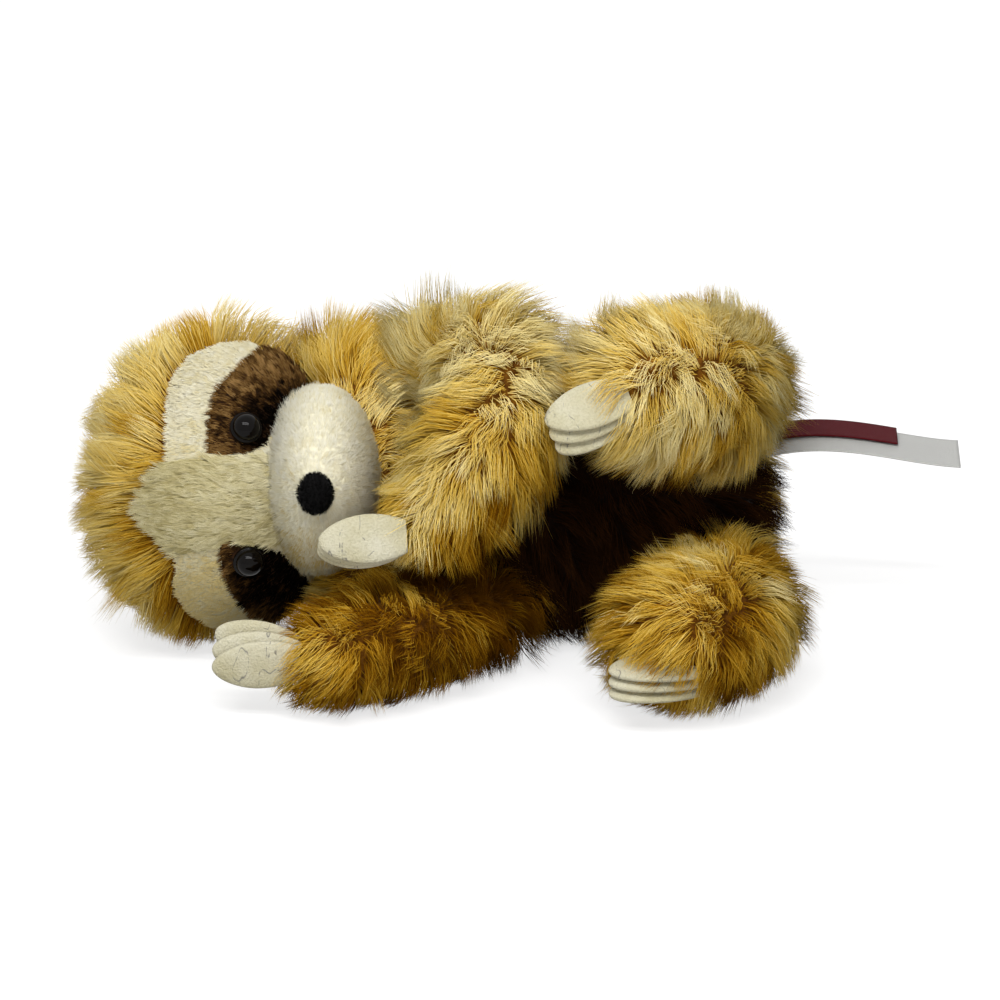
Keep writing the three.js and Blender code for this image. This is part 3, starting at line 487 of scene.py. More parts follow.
# The gold backing is darker than the fur, a painted shade for the gaps between the fibres
shaded_gold_backing = backing_material("shaded_gold_backing", (78, 46, 6), (126, 82, 20))
back_belly = backing_material("back_belly", (10, 5, 2), (28, 14, 7))
back_white = backing_material("back_white", (222, 215, 186), (240, 234, 208))
back_nose = backing_material("back_nose", (3, 3, 3), (9, 8, 8))


# Fur

def scatter(grid, spacing, draw):
    """Even random spots on a grid: cells drawn by their area, and a random place in each. Gives
    points and normals."""
    beside = np.roll(grid, -1, 1)
    a, b, c, d = grid[:-1], beside[:-1], beside[1:], grid[1:]
    normal = np.cross(c - a, d - b)
    middle = (a + b + c + d) / 4
    centre = middle.mean((0, 1))
    normal = np.where((np.sum(normal * (middle - centre), -1).sum() < 0), -normal, normal)
    area = np.linalg.norm(normal, axis=-1) / 2
    count = int(area.sum() / spacing ** 2)
    cell = draw.choice(area.size, count, p=(area / area.sum()).ravel())
    row, column = np.unravel_index(cell, area.shape)
    s, t = draw.random((2, count, 1))
    points = (a[row, column] * (1 - s) + b[row, column] * s) * (1 - t) \
        + (d[row, column] * (1 - s) + c[row, column] * s) * t
    return points, unit(normal[row, column])


def turned_about(vectors, axes, angles):
    """Vectors square to their axes, turned about them."""
    return vectors * np.cos(angles)[:, None] + np.cross(axes, vectors) * np.sin(angles)[:, None]


def nearest(points, centres):
    """The number of the nearest centre to each point, from squared distances."""
    square = (centres ** 2).sum(-1)[None] - 2 * points @ centres.T
    return square.argmin(1)


FIBRE_BEND = 0.5  # the share of a fibre's length at which its one bend lies
FIBRE_LIMIT = 19800  # fibres in one piece, of ten triangles each


def fibre_faces(count):
    """Faces of fibres of seven points each, two rings of three and a tip: three quads between the
    rings, three triangles to the tip and one that closes the root."""
    base = (np.arange(count) * 7)[:, None, None]
    side = np.arange(3)
    beside = (side + 1) % 3
    quads = np.stack([side, beside, beside + 3, side + 3], -1)[None]
    ends = np.concatenate([np.stack([3 + side, 3 + beside, np.full(3, 6)], -1), [[2, 1, 0]]])[None]
    return [(quads + base).reshape(-1, 4), (ends + base).reshape(-1, 3)]


def fur_piece(name, grid, look, keep, comb, spacing, length, width, seed, leans, tuft, gather, wild,
              droop=0.0, curl=0.045, even=0.84, swirl=26,
              tone=lambda roots: 0.62, longer=lambda roots: 1.0):
    """Closed three-sided fibres that taper to a point. Each starts square to the surface and leans
    over by a steady turn towards the combed direction, so its path is an arc, with one sine wave
    across it that a tuft shares; its far end is drawn to its tuft's middle fibre. Light meets each
    point in a direction between the skin's and the fibre's own, so the pile shades softly. The map
    holds its tone across and its height up. Lengths are millimetres, and angles degrees."""
    draw = np.random.default_rng(seed)
    roots, normals = scatter(grid, spacing, draw)
    chosen = keep(roots)
    roots, normals = roots[chosen][:FIBRE_LIMIT], normals[chosen][:FIBRE_LIMIT]
    count = len(roots)
    tufts = max(1, int(count * (spacing / tuft) ** 2))
    tuft_of = nearest(roots, roots[:tufts])
    tuft_of[:tufts] = np.arange(tufts)

    def varied(by_tuft, by_fibre):
        """A draw from a bell curve for each tuft, plus one for each fibre."""
        return draw.normal(0, by_tuft, tufts)[tuft_of] + draw.normal(0, by_fibre, count)

    direction = comb(roots, normals) + 1e-4 * ALONG
    direction = unit(direction - normals * np.sum(direction * normals, -1, keepdims=True))
    angle = np.radians(varied(*wild)) + lumps(roots, np.radians(swirl), 30)
    direction = turned_about(direction, normals, angle)
    reach = length * np.exp(varied(0.12, 0.1)) * longer(roots)
    start = np.radians(leans[0] + draw.normal(0, 5, count))
    end = np.maximum(np.radians(leans[1] + varied(9, 7)), start + 0.2)
    rise = (end - start)[:, None]
    shares = np.array([[0.0, FIBRE_BEND, 1.0]])
    lean = start[:, None] + rise * shares
    up = (np.sin(lean) - np.sin(start)[:, None]) / rise
    over = (np.cos(start)[:, None] - np.cos(lean)) / rise
    path = up[..., None] * normals[:, None] + over[..., None] * direction[:, None]
    path = reach[:, None, None] * path
    path = path + DOWN * (droop * reach[:, None, None] * shares[..., None] ** 2)
    flat = np.cross(normals, direction)[:, None]
    phase = draw.uniform(0, 2 * np.pi, tufts)[tuft_of][:, None] + draw.normal(0, 0.4, (count, 1))
    wave = np.sin(phase + 2 * np.pi * shares) - np.sin(phase)
    path = path + (curl * reach[:, None] * wave * shares)[..., None] * flat
    drawn = gather * shares[..., None] ** 1.5 * draw.uniform(0.5, 1.0, (count, 1, 1))
    path = roots[:, None] + path
    path = path + (path[tuft_of] - path) * drawn

    lean = lean[..., None]
    leaning = np.cos(lean) * normals[:, None] + np.sin(lean) * direction[:, None]
    thick = unit(np.cross(leaning, np.broadcast_to(flat, leaning.shape)))
    radius = width / 2 * np.array([1.0, 0.75])
    spin = draw.uniform(0, 2 * np.pi, (count, 1, 1)) + np.arange(3) * 2 * np.pi / 3
    around = np.cos(spin)[..., None] * flat[:, :, None]
    around = (around + np.sin(spin)[..., None] * thick[:, :, None])[:, :-1]
    rings = path[:, :-1, None] + around * radius[None, :, None, None]
    floor = 0.3 + draw.random((count, 1)) * 1.2
    rings[..., 2] = np.maximum(rings[..., 2], floor[:, :, None] + np.sin(spin) * 0.15)
    tips = path[:, -1]
    tips[:, 2] = np.maximum(tips[:, 2], floor[:, 0])
    points = np.concatenate([rings.reshape(count, -1, 3), tips[:, None]], 1)

    shade = np.clip(tone(roots) + varied(0.12, 0.1) + lumps(roots, 0.13, 34), 0.03, 0.95)
    across = shade[:, None] + np.array([0.0, 0.01, 0.02, 0.0, 0.01, 0.02, 0.01])
    height = np.array([0.0] * 3 + [FIBRE_BEND] * 3 + [1.0]) * 0.96 + 0.02
    uv = np.stack([across, np.broadcast_to(height, across.shape)], -1).reshape(-1, 2)
    facing = around * (1 - even) + normals[:, None, None] * even
    facing = np.concatenate([facing.reshape(count, -1, 3), normals[:, None]], 1)
    facing = unit(facing).reshape(-1, 3)
    return mesh_piece(name, points.reshape(-1, 3), fibre_faces(count), look, uv, facing)


# Regions

def inside_outline(across, up, outline):
    """Whether points lie inside a closed outline: an odd number of its edges cross the line to
    their right."""
    x, y = np.array(outline).T
    x2, y2 = np.roll(x, -1), np.roll(y, -1)
    crosses = (y > up[:, None]) != (y2 > up[:, None])
    slope = np.where(y2 == y, 1e-9, y2 - y)
    return (crosses & (across[:, None] < (x2 - x) * (up[:, None] - y) / slope + x)).sum(1) % 2 == 1


def outline_distance(points, outline):
    """How far points of the head lie from a panel's edge, seen from the front: the least distance
    to its sides."""
    spots = head_shares(points)[:, None, [0, 2]] * HEAD_HALVES[[0, 2]]
    starts = np.array(outline) * HEAD_HALVES[[0, 2]]
    sides = np.roll(starts, -1, 0) - starts
    share = np.sum((spots - starts) * sides, -1) / np.sum(sides * sides, -1)
    share = np.clip(share, 0, 1)[..., None]
    return np.linalg.norm(spots - starts - share * sides, axis=-1).min(1)


def head_shares(points):
    """Places on the head as shares of its half sizes."""
    return ((points - HEAD_CENTRE) @ AXES.T) / HEAD_HALVES


def on_panel(points, outline):
    """Whether points lie over a panel of the face, seen from the front."""
    shares = head_shares(points)
    return inside_outline(shares[:, 0], shares[:, 2], outline) & (shares[:, 1] > 0)


def within_ellipsoid(points, centre, halves):
    """Whether points lie in an ellipsoid: offsets over its half sizes, squared, sum below one."""
    return (((points - centre) @ AXES.T / halves) ** 2).sum(-1) < 1


def within_body(points, inset):
    """Whether points lie in the pear: nearer to its spine than its ring's width at that place."""
    shares = toy_places(points) / (BODY_HALVES - inset)
    along = np.clip(shares[..., 0], -1, 1)
    wide = np.sqrt(np.maximum(1 - along ** 2, 0)) * np.polyval(PEAR, along)
    return np.hypot(shares[..., 1], shares[..., 2]) < wide


def within_limb(points, name, inset):
    """Whether points lie nearer than the limb's radius to its middle line."""
    line, radius = SPINES[name]
    square = ((points[:, None] - line[None]) ** 2).sum(-1)
    index = square.argmin(1)
    return square[np.arange(len(points)), index] < (radius[index] - inset) ** 2


SPINES = {name: limb_spine(name) for name in LIMBS}


# Camera

# The lens and its sensor, and the width that the view takes in at the place it is aimed at
LENS, SENSOR, VIEW_WIDTH = 300.0, 36.0, 320.0
ELEVATION = np.radians(20.5)
AIM_PLACE = [-25.5, 30.0, 1.3]
aim = toy(AIM_PLACE) * MM
back = Vector((0, -np.cos(ELEVATION), np.sin(ELEVATION)))
camera = bpy.data.objects.new("camera", bpy.data.cameras.new("camera"))
camera.data.lens = LENS
camera.data.sensor_width = SENSOR
camera.location = Vector(aim) + back * (VIEW_WIDTH * MM * LENS / SENSOR)
camera.rotation_mode = "QUATERNION"
camera.rotation_quaternion = (-back).to_track_quat("-Z", "Y")
camera.data.clip_start, camera.data.clip_end = 0.05, 20
bpy.context.scene.collection.objects.link(camera)
bpy.context.scene.camera = camera


# Skins under the fur

def dress(piece, body, slot, *nodes):
    """Puts a piece on its body, in place of the model's nodes. Its slot is not used."""
    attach(piece, body)
    if nodes:
        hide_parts(*nodes)
    return piece


# How far each lining lies below the outer size of its part
LINING = 6.5
FACE_DEPTH, MUZZLE_DEPTH, RUFF_DEPTH, NOSE_DEPTH = 3.6, 1.4, 4.0, 0.6
head_grid = ellipsoid_grid(HEAD_CENTRE, HEAD_HALVES - LINING)
face_grid = ellipsoid_grid(HEAD_CENTRE, HEAD_HALVES - FACE_DEPTH, 96, 128)
muzzle_grid = ellipsoid_grid(MUZZLE_CENTRE, MUZZLE_HALVES - MUZZLE_DEPTH, 64, 96)
torso_grid = swollen(body_grid(LINING), 0.8, 26.0)
ruff_grid = ellipsoid_grid(toy(RUFF_PLACE), RUFF_HALVES - RUFF_DEPTH, 40, 72)
limb_grids = {name: tube_grid(line, radius - LINING) for name, (line, radius) in SPINES.items()}

skin = dress(closed_piece("head_skin", head_grid, shaded_gold_backing), "head", "fur", "head_stuffing")
skin = closed_piece("body_skin", torso_grid, back_belly)
dress(skin, "body", "belly_fur", "body_stuffing")
skin = closed_piece("neck_skin", ruff_grid, shaded_gold_backing)
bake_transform(skin)
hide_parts("neck_core")
for name, grid in limb_grids.items():
    skin = dress(closed_piece(f"{name}_lining", grid, shaded_gold_backing), name, "fur", f"{name}_stuffing")
skin = dress(closed_piece("muzzle_skin", muzzle_grid, back_white), "head", "muzzle_plush")


# Long fur

# The place in front of the face from which the hood's fur is combed
FACE_CENTRE = toy(HEAD_PLACE + np.array([8.0, 60.0, 0.0]))


def near(roots, spot, radius):
    """A soft round weight: one at a place of the toy, falling off as a bell over the radius."""
    return np.exp(-(np.linalg.norm(toy_places(roots) - spot, axis=-1) / radius) ** 2)


def hood_comb(points, normals):
    """Away from the face over the front, and to the nape and down behind."""
    behind = np.clip(0.1 - head_shares(points)[:, 1], 0, 1)[:, None]
    return unit(points - FACE_CENTRE) * (1 - behind) + (ALONG * 0.8 + DOWN * 0.5) * behind


def back_comb(points, normals):
    """To the rump, and a little down."""
    return ALONG + 0.35 * DOWN + 0 * points


def belly_comb(points, normals):
    """Down, and to the rump."""
    return ALONG * 0.6 + DOWN * 0.7 + 0 * points


def ruff_comb(points, normals):
    """Over the neck: to the crown on the head's side, to the rump on the body's."""
    return ALONG * (toy_places(points)[:, :1] - RUFF_PLACE[0] + 8) / 12 + 0.5 * LEFT


def limb_comb(name, along=0.6, spread=0.6, down=0.15):
    """Down the limb to the hand, spread to both sides as seen from the front, and lifted at the
    left knee and the left shoulder."""
    line, _ = SPINES[name]
    tangents, _ = carried_frames(line)

    def comb(points, normals):
        index = ((points[:, None] - line[None]) ** 2).sum(-1).argmin(1)
        ahead = (normals @ FRONT)[:, None]
        flat = normals - FRONT * ahead
        lifted = (near(points, (9, 58, 52), 18) + near(points, (-54, 25, 54), 16))[:, None]
        falling = np.clip(ahead, 0, 1) ** 2 * (-0.6 * LEFT - 0.15 * ALONG)
        combed = tangents[index] * along + flat * spread + DOWN * down
        return combed + falling + (1.4 * LEFT - ALONG) * lifted
    return comb


def in_ruff(points):
    """Whether points lie deep in the ruff round the neck."""
    return within_ellipsoid(points, toy(RUFF_PLACE), RUFF_HALVES - 9)


def on_belly(points):
    """Whether points lie over the belly's panel: an ellipse on the body, seen from the front."""
    shares = toy_places(points) / (BODY_HALVES * (BELLY_LENGTH_SHARE, 1, BELLY_WIDTH_SHARE))
    return (np.hypot(shares[:, 0], shares[:, 2]) < 1) & (shares[:, 1] > 0)


def clear_of_roots(points):
    """Leaves out what lies deep in a limb or in the neck."""
    clear = ~in_ruff(points)
    for name in LIMBS:
        clear &= ~within_limb(points, name, LINING + 4)
    return clear


def clear_of_trunk(points):
    """Leaves out what lies deep in the body or in the head."""
    in_head = within_ellipsoid(points, HEAD_CENTRE, HEAD_HALVES - LINING - 2)
    return ~within_body(points, LINING + 2) & ~in_head


def hood_keep(sign):
    """Hood fur grows behind the face's outline, on its own side of the head's middle."""
    return lambda points: ((head_shares(points)[:, 2] > 0) == (sign > 0)) & ~on_panel(points, FACE)


def back_keep(sign):
    """Back fur grows beside the belly, on its own side of the spine."""
    return lambda points: (
        ((toy_places(points)[:, 2] > 0) == (sign > 0)) & ~on_belly(points) & clear_of_roots(points)
    )


def belly_keep(points):
    """Belly fur grows on its panel."""
    return on_belly(points) & clear_of_roots(points)


def ruff_keep(sign):
    """The ruff's pile to the head's side or to the body's, where head and body leave it free."""
    return lambda points: (
        ((toy_places(points)[:, 0] < RUFF_DIVIDE) == (sign > 0)) & clear_of_trunk(points)
    )


def pressed(roots):
    """Shorter where the toy lies on it."""
    return np.clip(0.5 + roots[:, 2] / 50, 0.5, 1)


def hood_longer(roots):
    """Longest over the left side of the nape, where it runs into the ruff, and short inside it."""
    tufts = 1.1 * near(roots, (-88, 8, 45), 15) + 0.6 * near(roots, (-104, 10, 52), 20)
    return np.where(in_ruff(roots), 0.65, pressed(roots) * (1 + tufts))


def ruff_longer(roots):
    """Longer at the nape's left side, and short under the muzzle, where it shows when the head
    turns away."""
    covered = within_ellipsoid(roots, MUZZLE_CENTRE, MUZZLE_HALVES + 2)
    return np.where(covered, 0.35, pressed(roots) * (1 + 0.9 * near(roots, (-86, 8, 42), 13)))


# Unbrushed tufts of the limbs, and the short pile below the left hand: place on the toy, size and
# what it adds to the length
TUFTS = [
    ((-54, 25, 54), 14, 0.9), ((10, 60, 50), 13, 0.6), ((-19, 15, -42), 12, 0.6),
    ((-22, 42, 56), 11, 0.5), ((-2, 58, 50), 9, 0.35), ((-44, 62, -20), 15, -0.55),
    ((-24, 62, -8), 12, -0.3),
]


def limb_longer(roots):
    """Longer or shorter at the limbs' tufts, and shorter where the toy lies on it."""
    tufts = sum(more * near(roots, spot, radius) for spot, radius, more in TUFTS)
    return pressed(roots) * (1 + tufts)


# Painted shade in the hollows of the limbs: place on the toy, size and depth
PAINTED_HOLLOW_SHADES = [
    ((-36, 70, -8), 12, 0.42), ((-35, 76, 20), 13, 0.24), ((-45, 35, -28), 16, 0.5),
    ((-40, 45, -52), 26, 0.12), ((-57, 45, -60), 16, 0.16), ((-8, 30, -30), 18, 0.3),
    ((-28, 40, 40), 7, 0.15), ((44, 60, 26), 8, 0.12),
]
# Base tone of each limb's fur; the right arm's is lower, a painted shade for the shadow it lies in
LIMB_TONES = {"arm_left": 0.59, "arm_right": 0.33, "leg_left": 0.52, "leg_right": 0.49}


def limb_tone(name):
    """Painted shade and light: browner on the side that faces down, on the lower arm and in the
    hollows, lighter on top.
    """
    def tone(roots):
        under = np.clip(0.5 - roots[:, 2] / 90, 0, 0.5)
        top = np.clip(roots[:, 2] / 40 - 1.7, 0, 1)
        hollow = sum(depth * near(roots, spot, radius) for spot, radius, depth in PAINTED_HOLLOW_SHADES)
        return LIMB_TONES[name] - 0.28 * under + 0.22 * top - hollow
    return tone


def hood_tone(roots):
    """Painted shade and light: browner beside the face, most on the lower side, browner on the side
    that lies down and lighter on the upper side.
    """
    left = toy_places(roots)[:, 2]
    # Painted shade beside the face, stronger towards the side that lies down
    edge = np.exp(-(outline_distance(roots, FACE) / 6) ** 2) * np.clip(0.6 - left / 60, 0.1, 1)
    return 0.66 - 0.26 * edge - 0.06 * np.clip(-left / 40, 0, 1) + 0.1 * np.clip(left / 50, 0, 1)


LONG = dict(
    spacing=0.795, length=14.2, width=0.27, leans=(18, 68), tuft=5.5, gather=0.45, wild=(28, 12),
    droop=0.06,
)
for side, sign in (("left", 1), ("right", -1)):
    fur = fur_piece(f"hood_{side}_fur", head_grid, fur_gold, hood_keep(sign), hood_comb,
                    seed=11 + sign, tone=hood_tone, longer=hood_longer, **LONG)
    dress(fur, "head", "fur", f"hood_{side}")
    fur = fur_piece(f"back_{side}_fur", torso_grid, fur_gold, back_keep(sign), back_comb,
                    seed=21 + sign, longer=pressed, **LONG)
    dress(fur, "body", "fur", f"back_{side}")
fur = fur_piece("belly_fur", torso_grid, fur_belly, belly_keep, belly_comb, seed=31, even=0.5,
                **{**LONG, "spacing": 0.95})
dress(fur, "body", "belly_fur", "belly_panel")
for name, sign, seed, body, node in (
    ("neck_fur", 1, 41, "neck", "neck_ruff"), ("nape_fur", -1, 43, "body", "back_ruff"),
):
    fur = fur_piece(name, ruff_grid, fur_gold, ruff_keep(sign), ruff_comb, seed=seed,
                    longer=ruff_longer, **LONG)
    dress(fur, body, "fur", node)
for number, (name, grid) in enumerate(limb_grids.items()):
    fur = fur_piece(f"{name}_fur", grid, fur_gold, clear_of_trunk, limb_comb(name),
                    seed=51 + number, tone=limb_tone(name), longer=limb_longer, **LONG)
    dress(fur, name, "fur", f"{name}_skin")


# Short plush of the face

def crown_comb(points, normals):
    """To the crown."""
    return -ALONG + 0 * points


def muzzle_comb(points, normals):
    """Away from the nose."""
    return points - NOSE_CENTRE


def eye_seat(side):
    """The spot and direction of an eye on the face."""
    along, left = EYE_SHARES[side]
    sizes = HEAD_HALVES - LONG_PILE + SHORT_PILE
    shares = np.array([along, np.sqrt(1 - along ** 2 - left ** 2), left])
    return HEAD_CENTRE + (shares * sizes) @ AXES, unit((shares / sizes) @ AXES)


def clear_of_eyes(points):
    """Leaves out what an eye covers."""
    spots = [eye_seat(side)[0] for side in EYE_SHARES]
    return np.min([np.linalg.norm(points - spot, axis=-1) for spot in spots], 0) > EYE_RADIUS + 0.2


def panel_keep(outline, *others):
    """Plush grows within its panel's outline, outside the others', and clear of muzzle and eyes."""
    def keep(points):
        own = on_panel(points, outline) & clear_of_eyes(points)
        for other in others:
            own &= ~on_panel(points, other)
        return own & ~within_ellipsoid(points, MUZZLE_CENTRE, MUZZLE_HALVES - 2.5)
    return keep


def face_keep(sign):
    """White plush grows round the strip and the patches, on its own side of the strip."""
    inner = panel_keep(FACE, STRIP, PATCH_LEFT, PATCH_RIGHT)
    return lambda points: inner(points) & ((head_shares(points)[:, 2] > -0.14) == (sign > 0))


def muzzle_keep(points):
    """The muzzle's pile stands clear of the head and of the nose."""
    in_head = within_ellipsoid(points, HEAD_CENTRE, HEAD_HALVES - 5)
    return ~in_head & ~within_ellipsoid(points, NOSE_CENTRE, NOSE_HALVES * (1, 2, 1))


def nose_keep(points):
    """The nose's flock stands clear of the muzzle."""
    return ~within_ellipsoid(points, MUZZLE_CENTRE, MUZZLE_HALVES - 2)


def patch_tone(dark_spot):
    """From near black by the eye and the muzzle to brown at the patch's outer edge."""
    def tone(points):
        offset = (head_shares(points)[:, [0, 2]] - dark_spot) * HEAD_HALVES[[0, 2]]
        away = np.linalg.norm(offset, axis=-1)
        return 0.04 + 0.6 * np.clip((away - 9) / 11, 0, 1)
    return tone


def lower_side_shade_tone(points):
    """Even, with painted shade and warm bounce light: darker and warmer on the side that lies down.
    """
    return 0.62 - 0.5 * np.clip(-(toy_places(points)[:, 2] - 2) / 26, 0, 1)


def strip_tone(points):
    """A little darker than the face's tone, with painted shade: darker on the side that lies down.
    """
    return 0.52 - 0.2 * np.clip(-(toy_places(points)[:, 2] + 6) / 30, 0, 1)


def muzzle_longer(points):
    """Longer where the muzzle meets the face, so that its pile feathers over the edge."""
    outside = (np.linalg.norm(head_shares(points), axis=-1) - 0.93) * 45
    return 1 + 1.3 * np.exp(-(outside / 5) ** 2)


def face_longer(points):
    """Longer round the muzzle."""
    outside = (np.linalg.norm((points - MUZZLE_CENTRE) @ AXES.T / MUZZLE_HALVES, axis=-1) - 1) * 25
    return 1 + 0.3 * np.exp(-(outside / 5) ** 2)


SHORT = dict(width=0.24, tuft=1.6, wild=(14, 9), curl=0.03, even=0.92, swirl=8)
strip_keep = panel_keep(STRIP, PATCH_LEFT, PATCH_RIGHT)
plush = [
    ("forehead_strip", plush_beige, "beige_plush", strip_keep, 4.2, 0.4, strip_tone),
    ("face_left", plush_white, "white_plush", face_keep(1), 1.8, 0.38, lower_side_shade_tone),
    ("face_right", plush_white, "white_plush", face_keep(-1), 1.8, 0.38, lower_side_shade_tone),
    ("eye_patch_left", plush_brown, "brown_plush", panel_keep(PATCH_LEFT), 2.2, 0.4,
     patch_tone((0.5, 0.3))),
    ("eye_patch_right", plush_brown, "brown_plush", panel_keep(PATCH_RIGHT), 2.2, 0.4,
     patch_tone((0.5, -0.5))),
]
for number, (name, look, slot, keep, length, spacing, tone) in enumerate(plush):
    fur = fur_piece(f"{name}_pile", face_grid, look, keep, crown_comb, spacing, length,
                    seed=71 + number, leans=(45, 78), gather=0.15, tone=tone, longer=face_longer,
                    **SHORT)
    dress(fur, "head", slot, name)
fur = fur_piece("muzzle_pile", muzzle_grid, plush_muzzle, muzzle_keep, muzzle_comb, 0.48, 1.8,
                seed=81, leans=(35, 70), gather=0.1, tone=lower_side_shade_tone, longer=muzzle_longer, **SHORT)
dress(fur, "head", "muzzle_plush", "muzzle")
nose_grid = ellipsoid_grid(NOSE_CENTRE, NOSE_HALVES - NOSE_DEPTH, 32, 48)
nose = dress(closed_piece("nose_skin", nose_grid, back_nose), "head", "nose_flock")
fur = fur_piece("nose_flock", nose_grid, flock_black, nose_keep, muzzle_comb, 0.4, 0.9, width=0.2,
                seed=91, leans=(5, 30), tuft=1.0, gather=0.1, wild=(40, 40))
dress(fur, "head", "nose_flock", "nose")


# Face backing: a thin panel of each plush, so the colour below the pile is its own

def add_wall(piece, thickness, offset):
    """A wall of a thickness in millimetres: inwards at offset -1, to both sides at 0."""
    wall = piece.modifiers.new("wall", "SOLIDIFY")
    wall.thickness = thickness * MM
    wall.offset = offset


def panel_skin(name, look, slot, outline, sink):
    """The part of the head's surface over a panel's outline, as seen from the front."""
    grid = ellipsoid_grid(HEAD_CENTRE, HEAD_HALVES - sink, 240, 320)
    beside = np.roll(grid, -1, 1)
    middle = (grid[:-1] + grid[1:] + beside[:-1] + beside[1:]) / 4
    inside = on_panel(middle.reshape(-1, 3), outline)
    quads = ring_faces(grid.shape[0], grid.shape[1])[inside]
    used, numbers = np.unique(quads, return_inverse=True)
    points = grid.reshape(-1, 3)[used]
    quads = numbers.reshape(-1, 4)
    corners = points[quads]
    normal = np.cross(corners[:, 2] - corners[:, 0], corners[:, 3] - corners[:, 1])
    if np.sum(normal * (corners.mean(1) - HEAD_CENTRE)) < 0:
        quads = quads[:, ::-1]
    piece = mesh_piece(name, points, [quads], look)
    add_wall(piece, 1.0, -1)
    return dress(piece, "head", slot)


back_beige = backing_material("back_beige", (180, 168, 120), (204, 192, 146))
back_brown = backing_material("back_brown", (24, 13, 6), (60, 38, 20))
panel_skin("face_backing", back_white, "white_plush", FACE, 4.0)
panel_skin("strip_backing", back_beige, "beige_plush", STRIP, 3.8)
panel_skin("patch_left_backing", back_brown, "brown_plush", PATCH_LEFT, 3.6)
panel_skin("patch_right_backing", back_brown, "brown_plush", PATCH_RIGHT, 3.6)


# Eyes

def turned_grid(spot, normal, profile, sides=48):
    """A profile of (radius, height) turned round the normal at a spot."""
    across = unit(np.cross(normal, ALONG))
    other = np.cross(normal, across)
    turn = np.linspace(0, 2 * np.pi, sides, endpoint=False)
    out = np.cos(turn)[:, None] * across + np.sin(turn)[:, None] * other
    radius, height = np.array(profile, float).T
    return spot + radius[:, None, None] * out[None] + height[:, None, None] * normal


eye_black, tree, shader = new_material("eye_black", 0.04, 0.12)
add_two_tones(tree, shader, add_noise(tree, 900, 2.0), (5, 3, 2), (11, 7, 5))
add_bump(tree, shader, add_noise(tree, 240, 1.0), 0.00002)

DOME_RADIUS, DOME_HEIGHT, RIM, SEAT = 4.5, 4.1, 0.75, 0.6
arc = np.linspace(0, np.pi / 2, 16)[1:-1]
dome = [(DOME_RADIUS * np.cos(a), RIM + DOME_HEIGHT * np.sin(a)) for a in arc]
eye_profile = [
    (0, -1.0), (4.6, -1.0), (5.1, -0.5), (5.2, 0.1), (5.1, 0.5), (4.9, RIM), (4.65, RIM + 0.02),
    (DOME_RADIUS, RIM + 0.2), *dome, (0, RIM + DOME_HEIGHT),
]
for side in EYE_SHARES:
    spot, normal = eye_seat(side)
    grid = turned_grid(spot + SEAT * normal, normal, eye_profile)
    dress(closed_piece(f"eye_{side}_dome", grid, eye_black), "head", "eye_plastic", f"eye_{side}")


# Claws

felt, tree, shader = new_material("felt_cream", 0.95, 0.1, 0.15)
mottle = add_ramp(tree, add_noise(tree, 60, 4.0), [
    (0.3, colour(186, 178, 142)), (0.5, colour(202, 196, 168)), (0.75, colour(216, 212, 192)),
])
fine = add_noise(tree, 1400, 3.0)
speckle = add_ramp(tree, fine, [(0.35, (0.88, 0.87, 0.83, 1)), (0.6, WHITE)])
# Thin darker lines, broken up by fine noise, are painted shade of creases in the felt
crease_shade = add_ramp(tree, add_noise(tree, 75, 2.0, stretch=(1.6, 1, 0.6)), [
    (0.0, BLACK), (0.447, BLACK), (0.457, WHITE), (0.467, BLACK),
])
broken = add_ramp(tree, add_noise(tree, 420, 2.0), [(0.48, BLACK), (0.56, WHITE)])
felted = add_mix(tree, "MULTIPLY", 1.0, mottle, speckle)
broken_crease_shade = add_mix(tree, "MULTIPLY", 1.0, crease_shade, broken)
tone = add_mix(tree, "MIX", broken_crease_shade, felted, colour(120, 118, 112))
put(tree, shader.inputs["Base Color"], tone)
add_bump(tree, shader, fine, 0.0005)


def petal_grid(name, index, rings=30, sides=28):
    """A petal-shaped pad: its half width swells by a sine over its length and rounds off at the
    tip, its section is a squared ellipse, and it bows a little to its face."""
    claws = LIMBS[name]["claws"]
    line, radius = SPINES[name]
    point = line[-1] + (radius[-1] * np.array(claws["start"]) + claws["moved"]) @ AXES
    direction = unit(np.array(claws["point"]) @ AXES)
    facing = np.array(claws["face"]) @ AXES
    facing = unit(facing - direction * (facing @ direction))
    across = np.cross(facing, direction)
    fan = np.radians(claws["fan"]) * (index - 1)
    direction, across = (
        direction * np.cos(fan) + across * np.sin(fan),
        across * np.cos(fan) - direction * np.sin(fan),
    )
    share = (1 - np.cos(np.linspace(0, np.pi, rings))) / 2
    half = CLAW_WIDTH / 2 * (0.68 + 0.36 * np.sin(np.pi * share ** 0.85)) * np.sqrt(1 - share ** 6)
    half[0] = 0
    depth = CLAW_THICKNESS / 2 * np.sqrt(np.clip(1 - share ** 14, 0, 1))
    depth[0] = 0
    turn = np.linspace(0, 2 * np.pi, sides, endpoint=False)
    wide = np.sign(np.cos(turn)) * np.abs(np.cos(turn)) ** 0.75
    deep = np.sign(np.sin(turn)) * np.abs(np.sin(turn)) ** 0.75
    bow = 0.8 * np.sin(np.pi * share)
    lift = (1 - index) * (CLAW_THICKNESS + CLAW_SPACING)
    places = point + (share * CLAW_LENGTH)[:, None, None] * direction
    places = places + (half[:, None] * wide)[..., None] * across
    return places + (depth[:, None] * deep + bow[:, None] + lift)[..., None] * facing


for name in LIMBS:
    for index, word in enumerate(("front", "middle", "rear")):
        claw = closed_piece(f"{name}_petal_{word}", petal_grid(name, index), felt)
        dress(claw, name, "felt", f"{name}_claw_{word}")


# Labels and tag

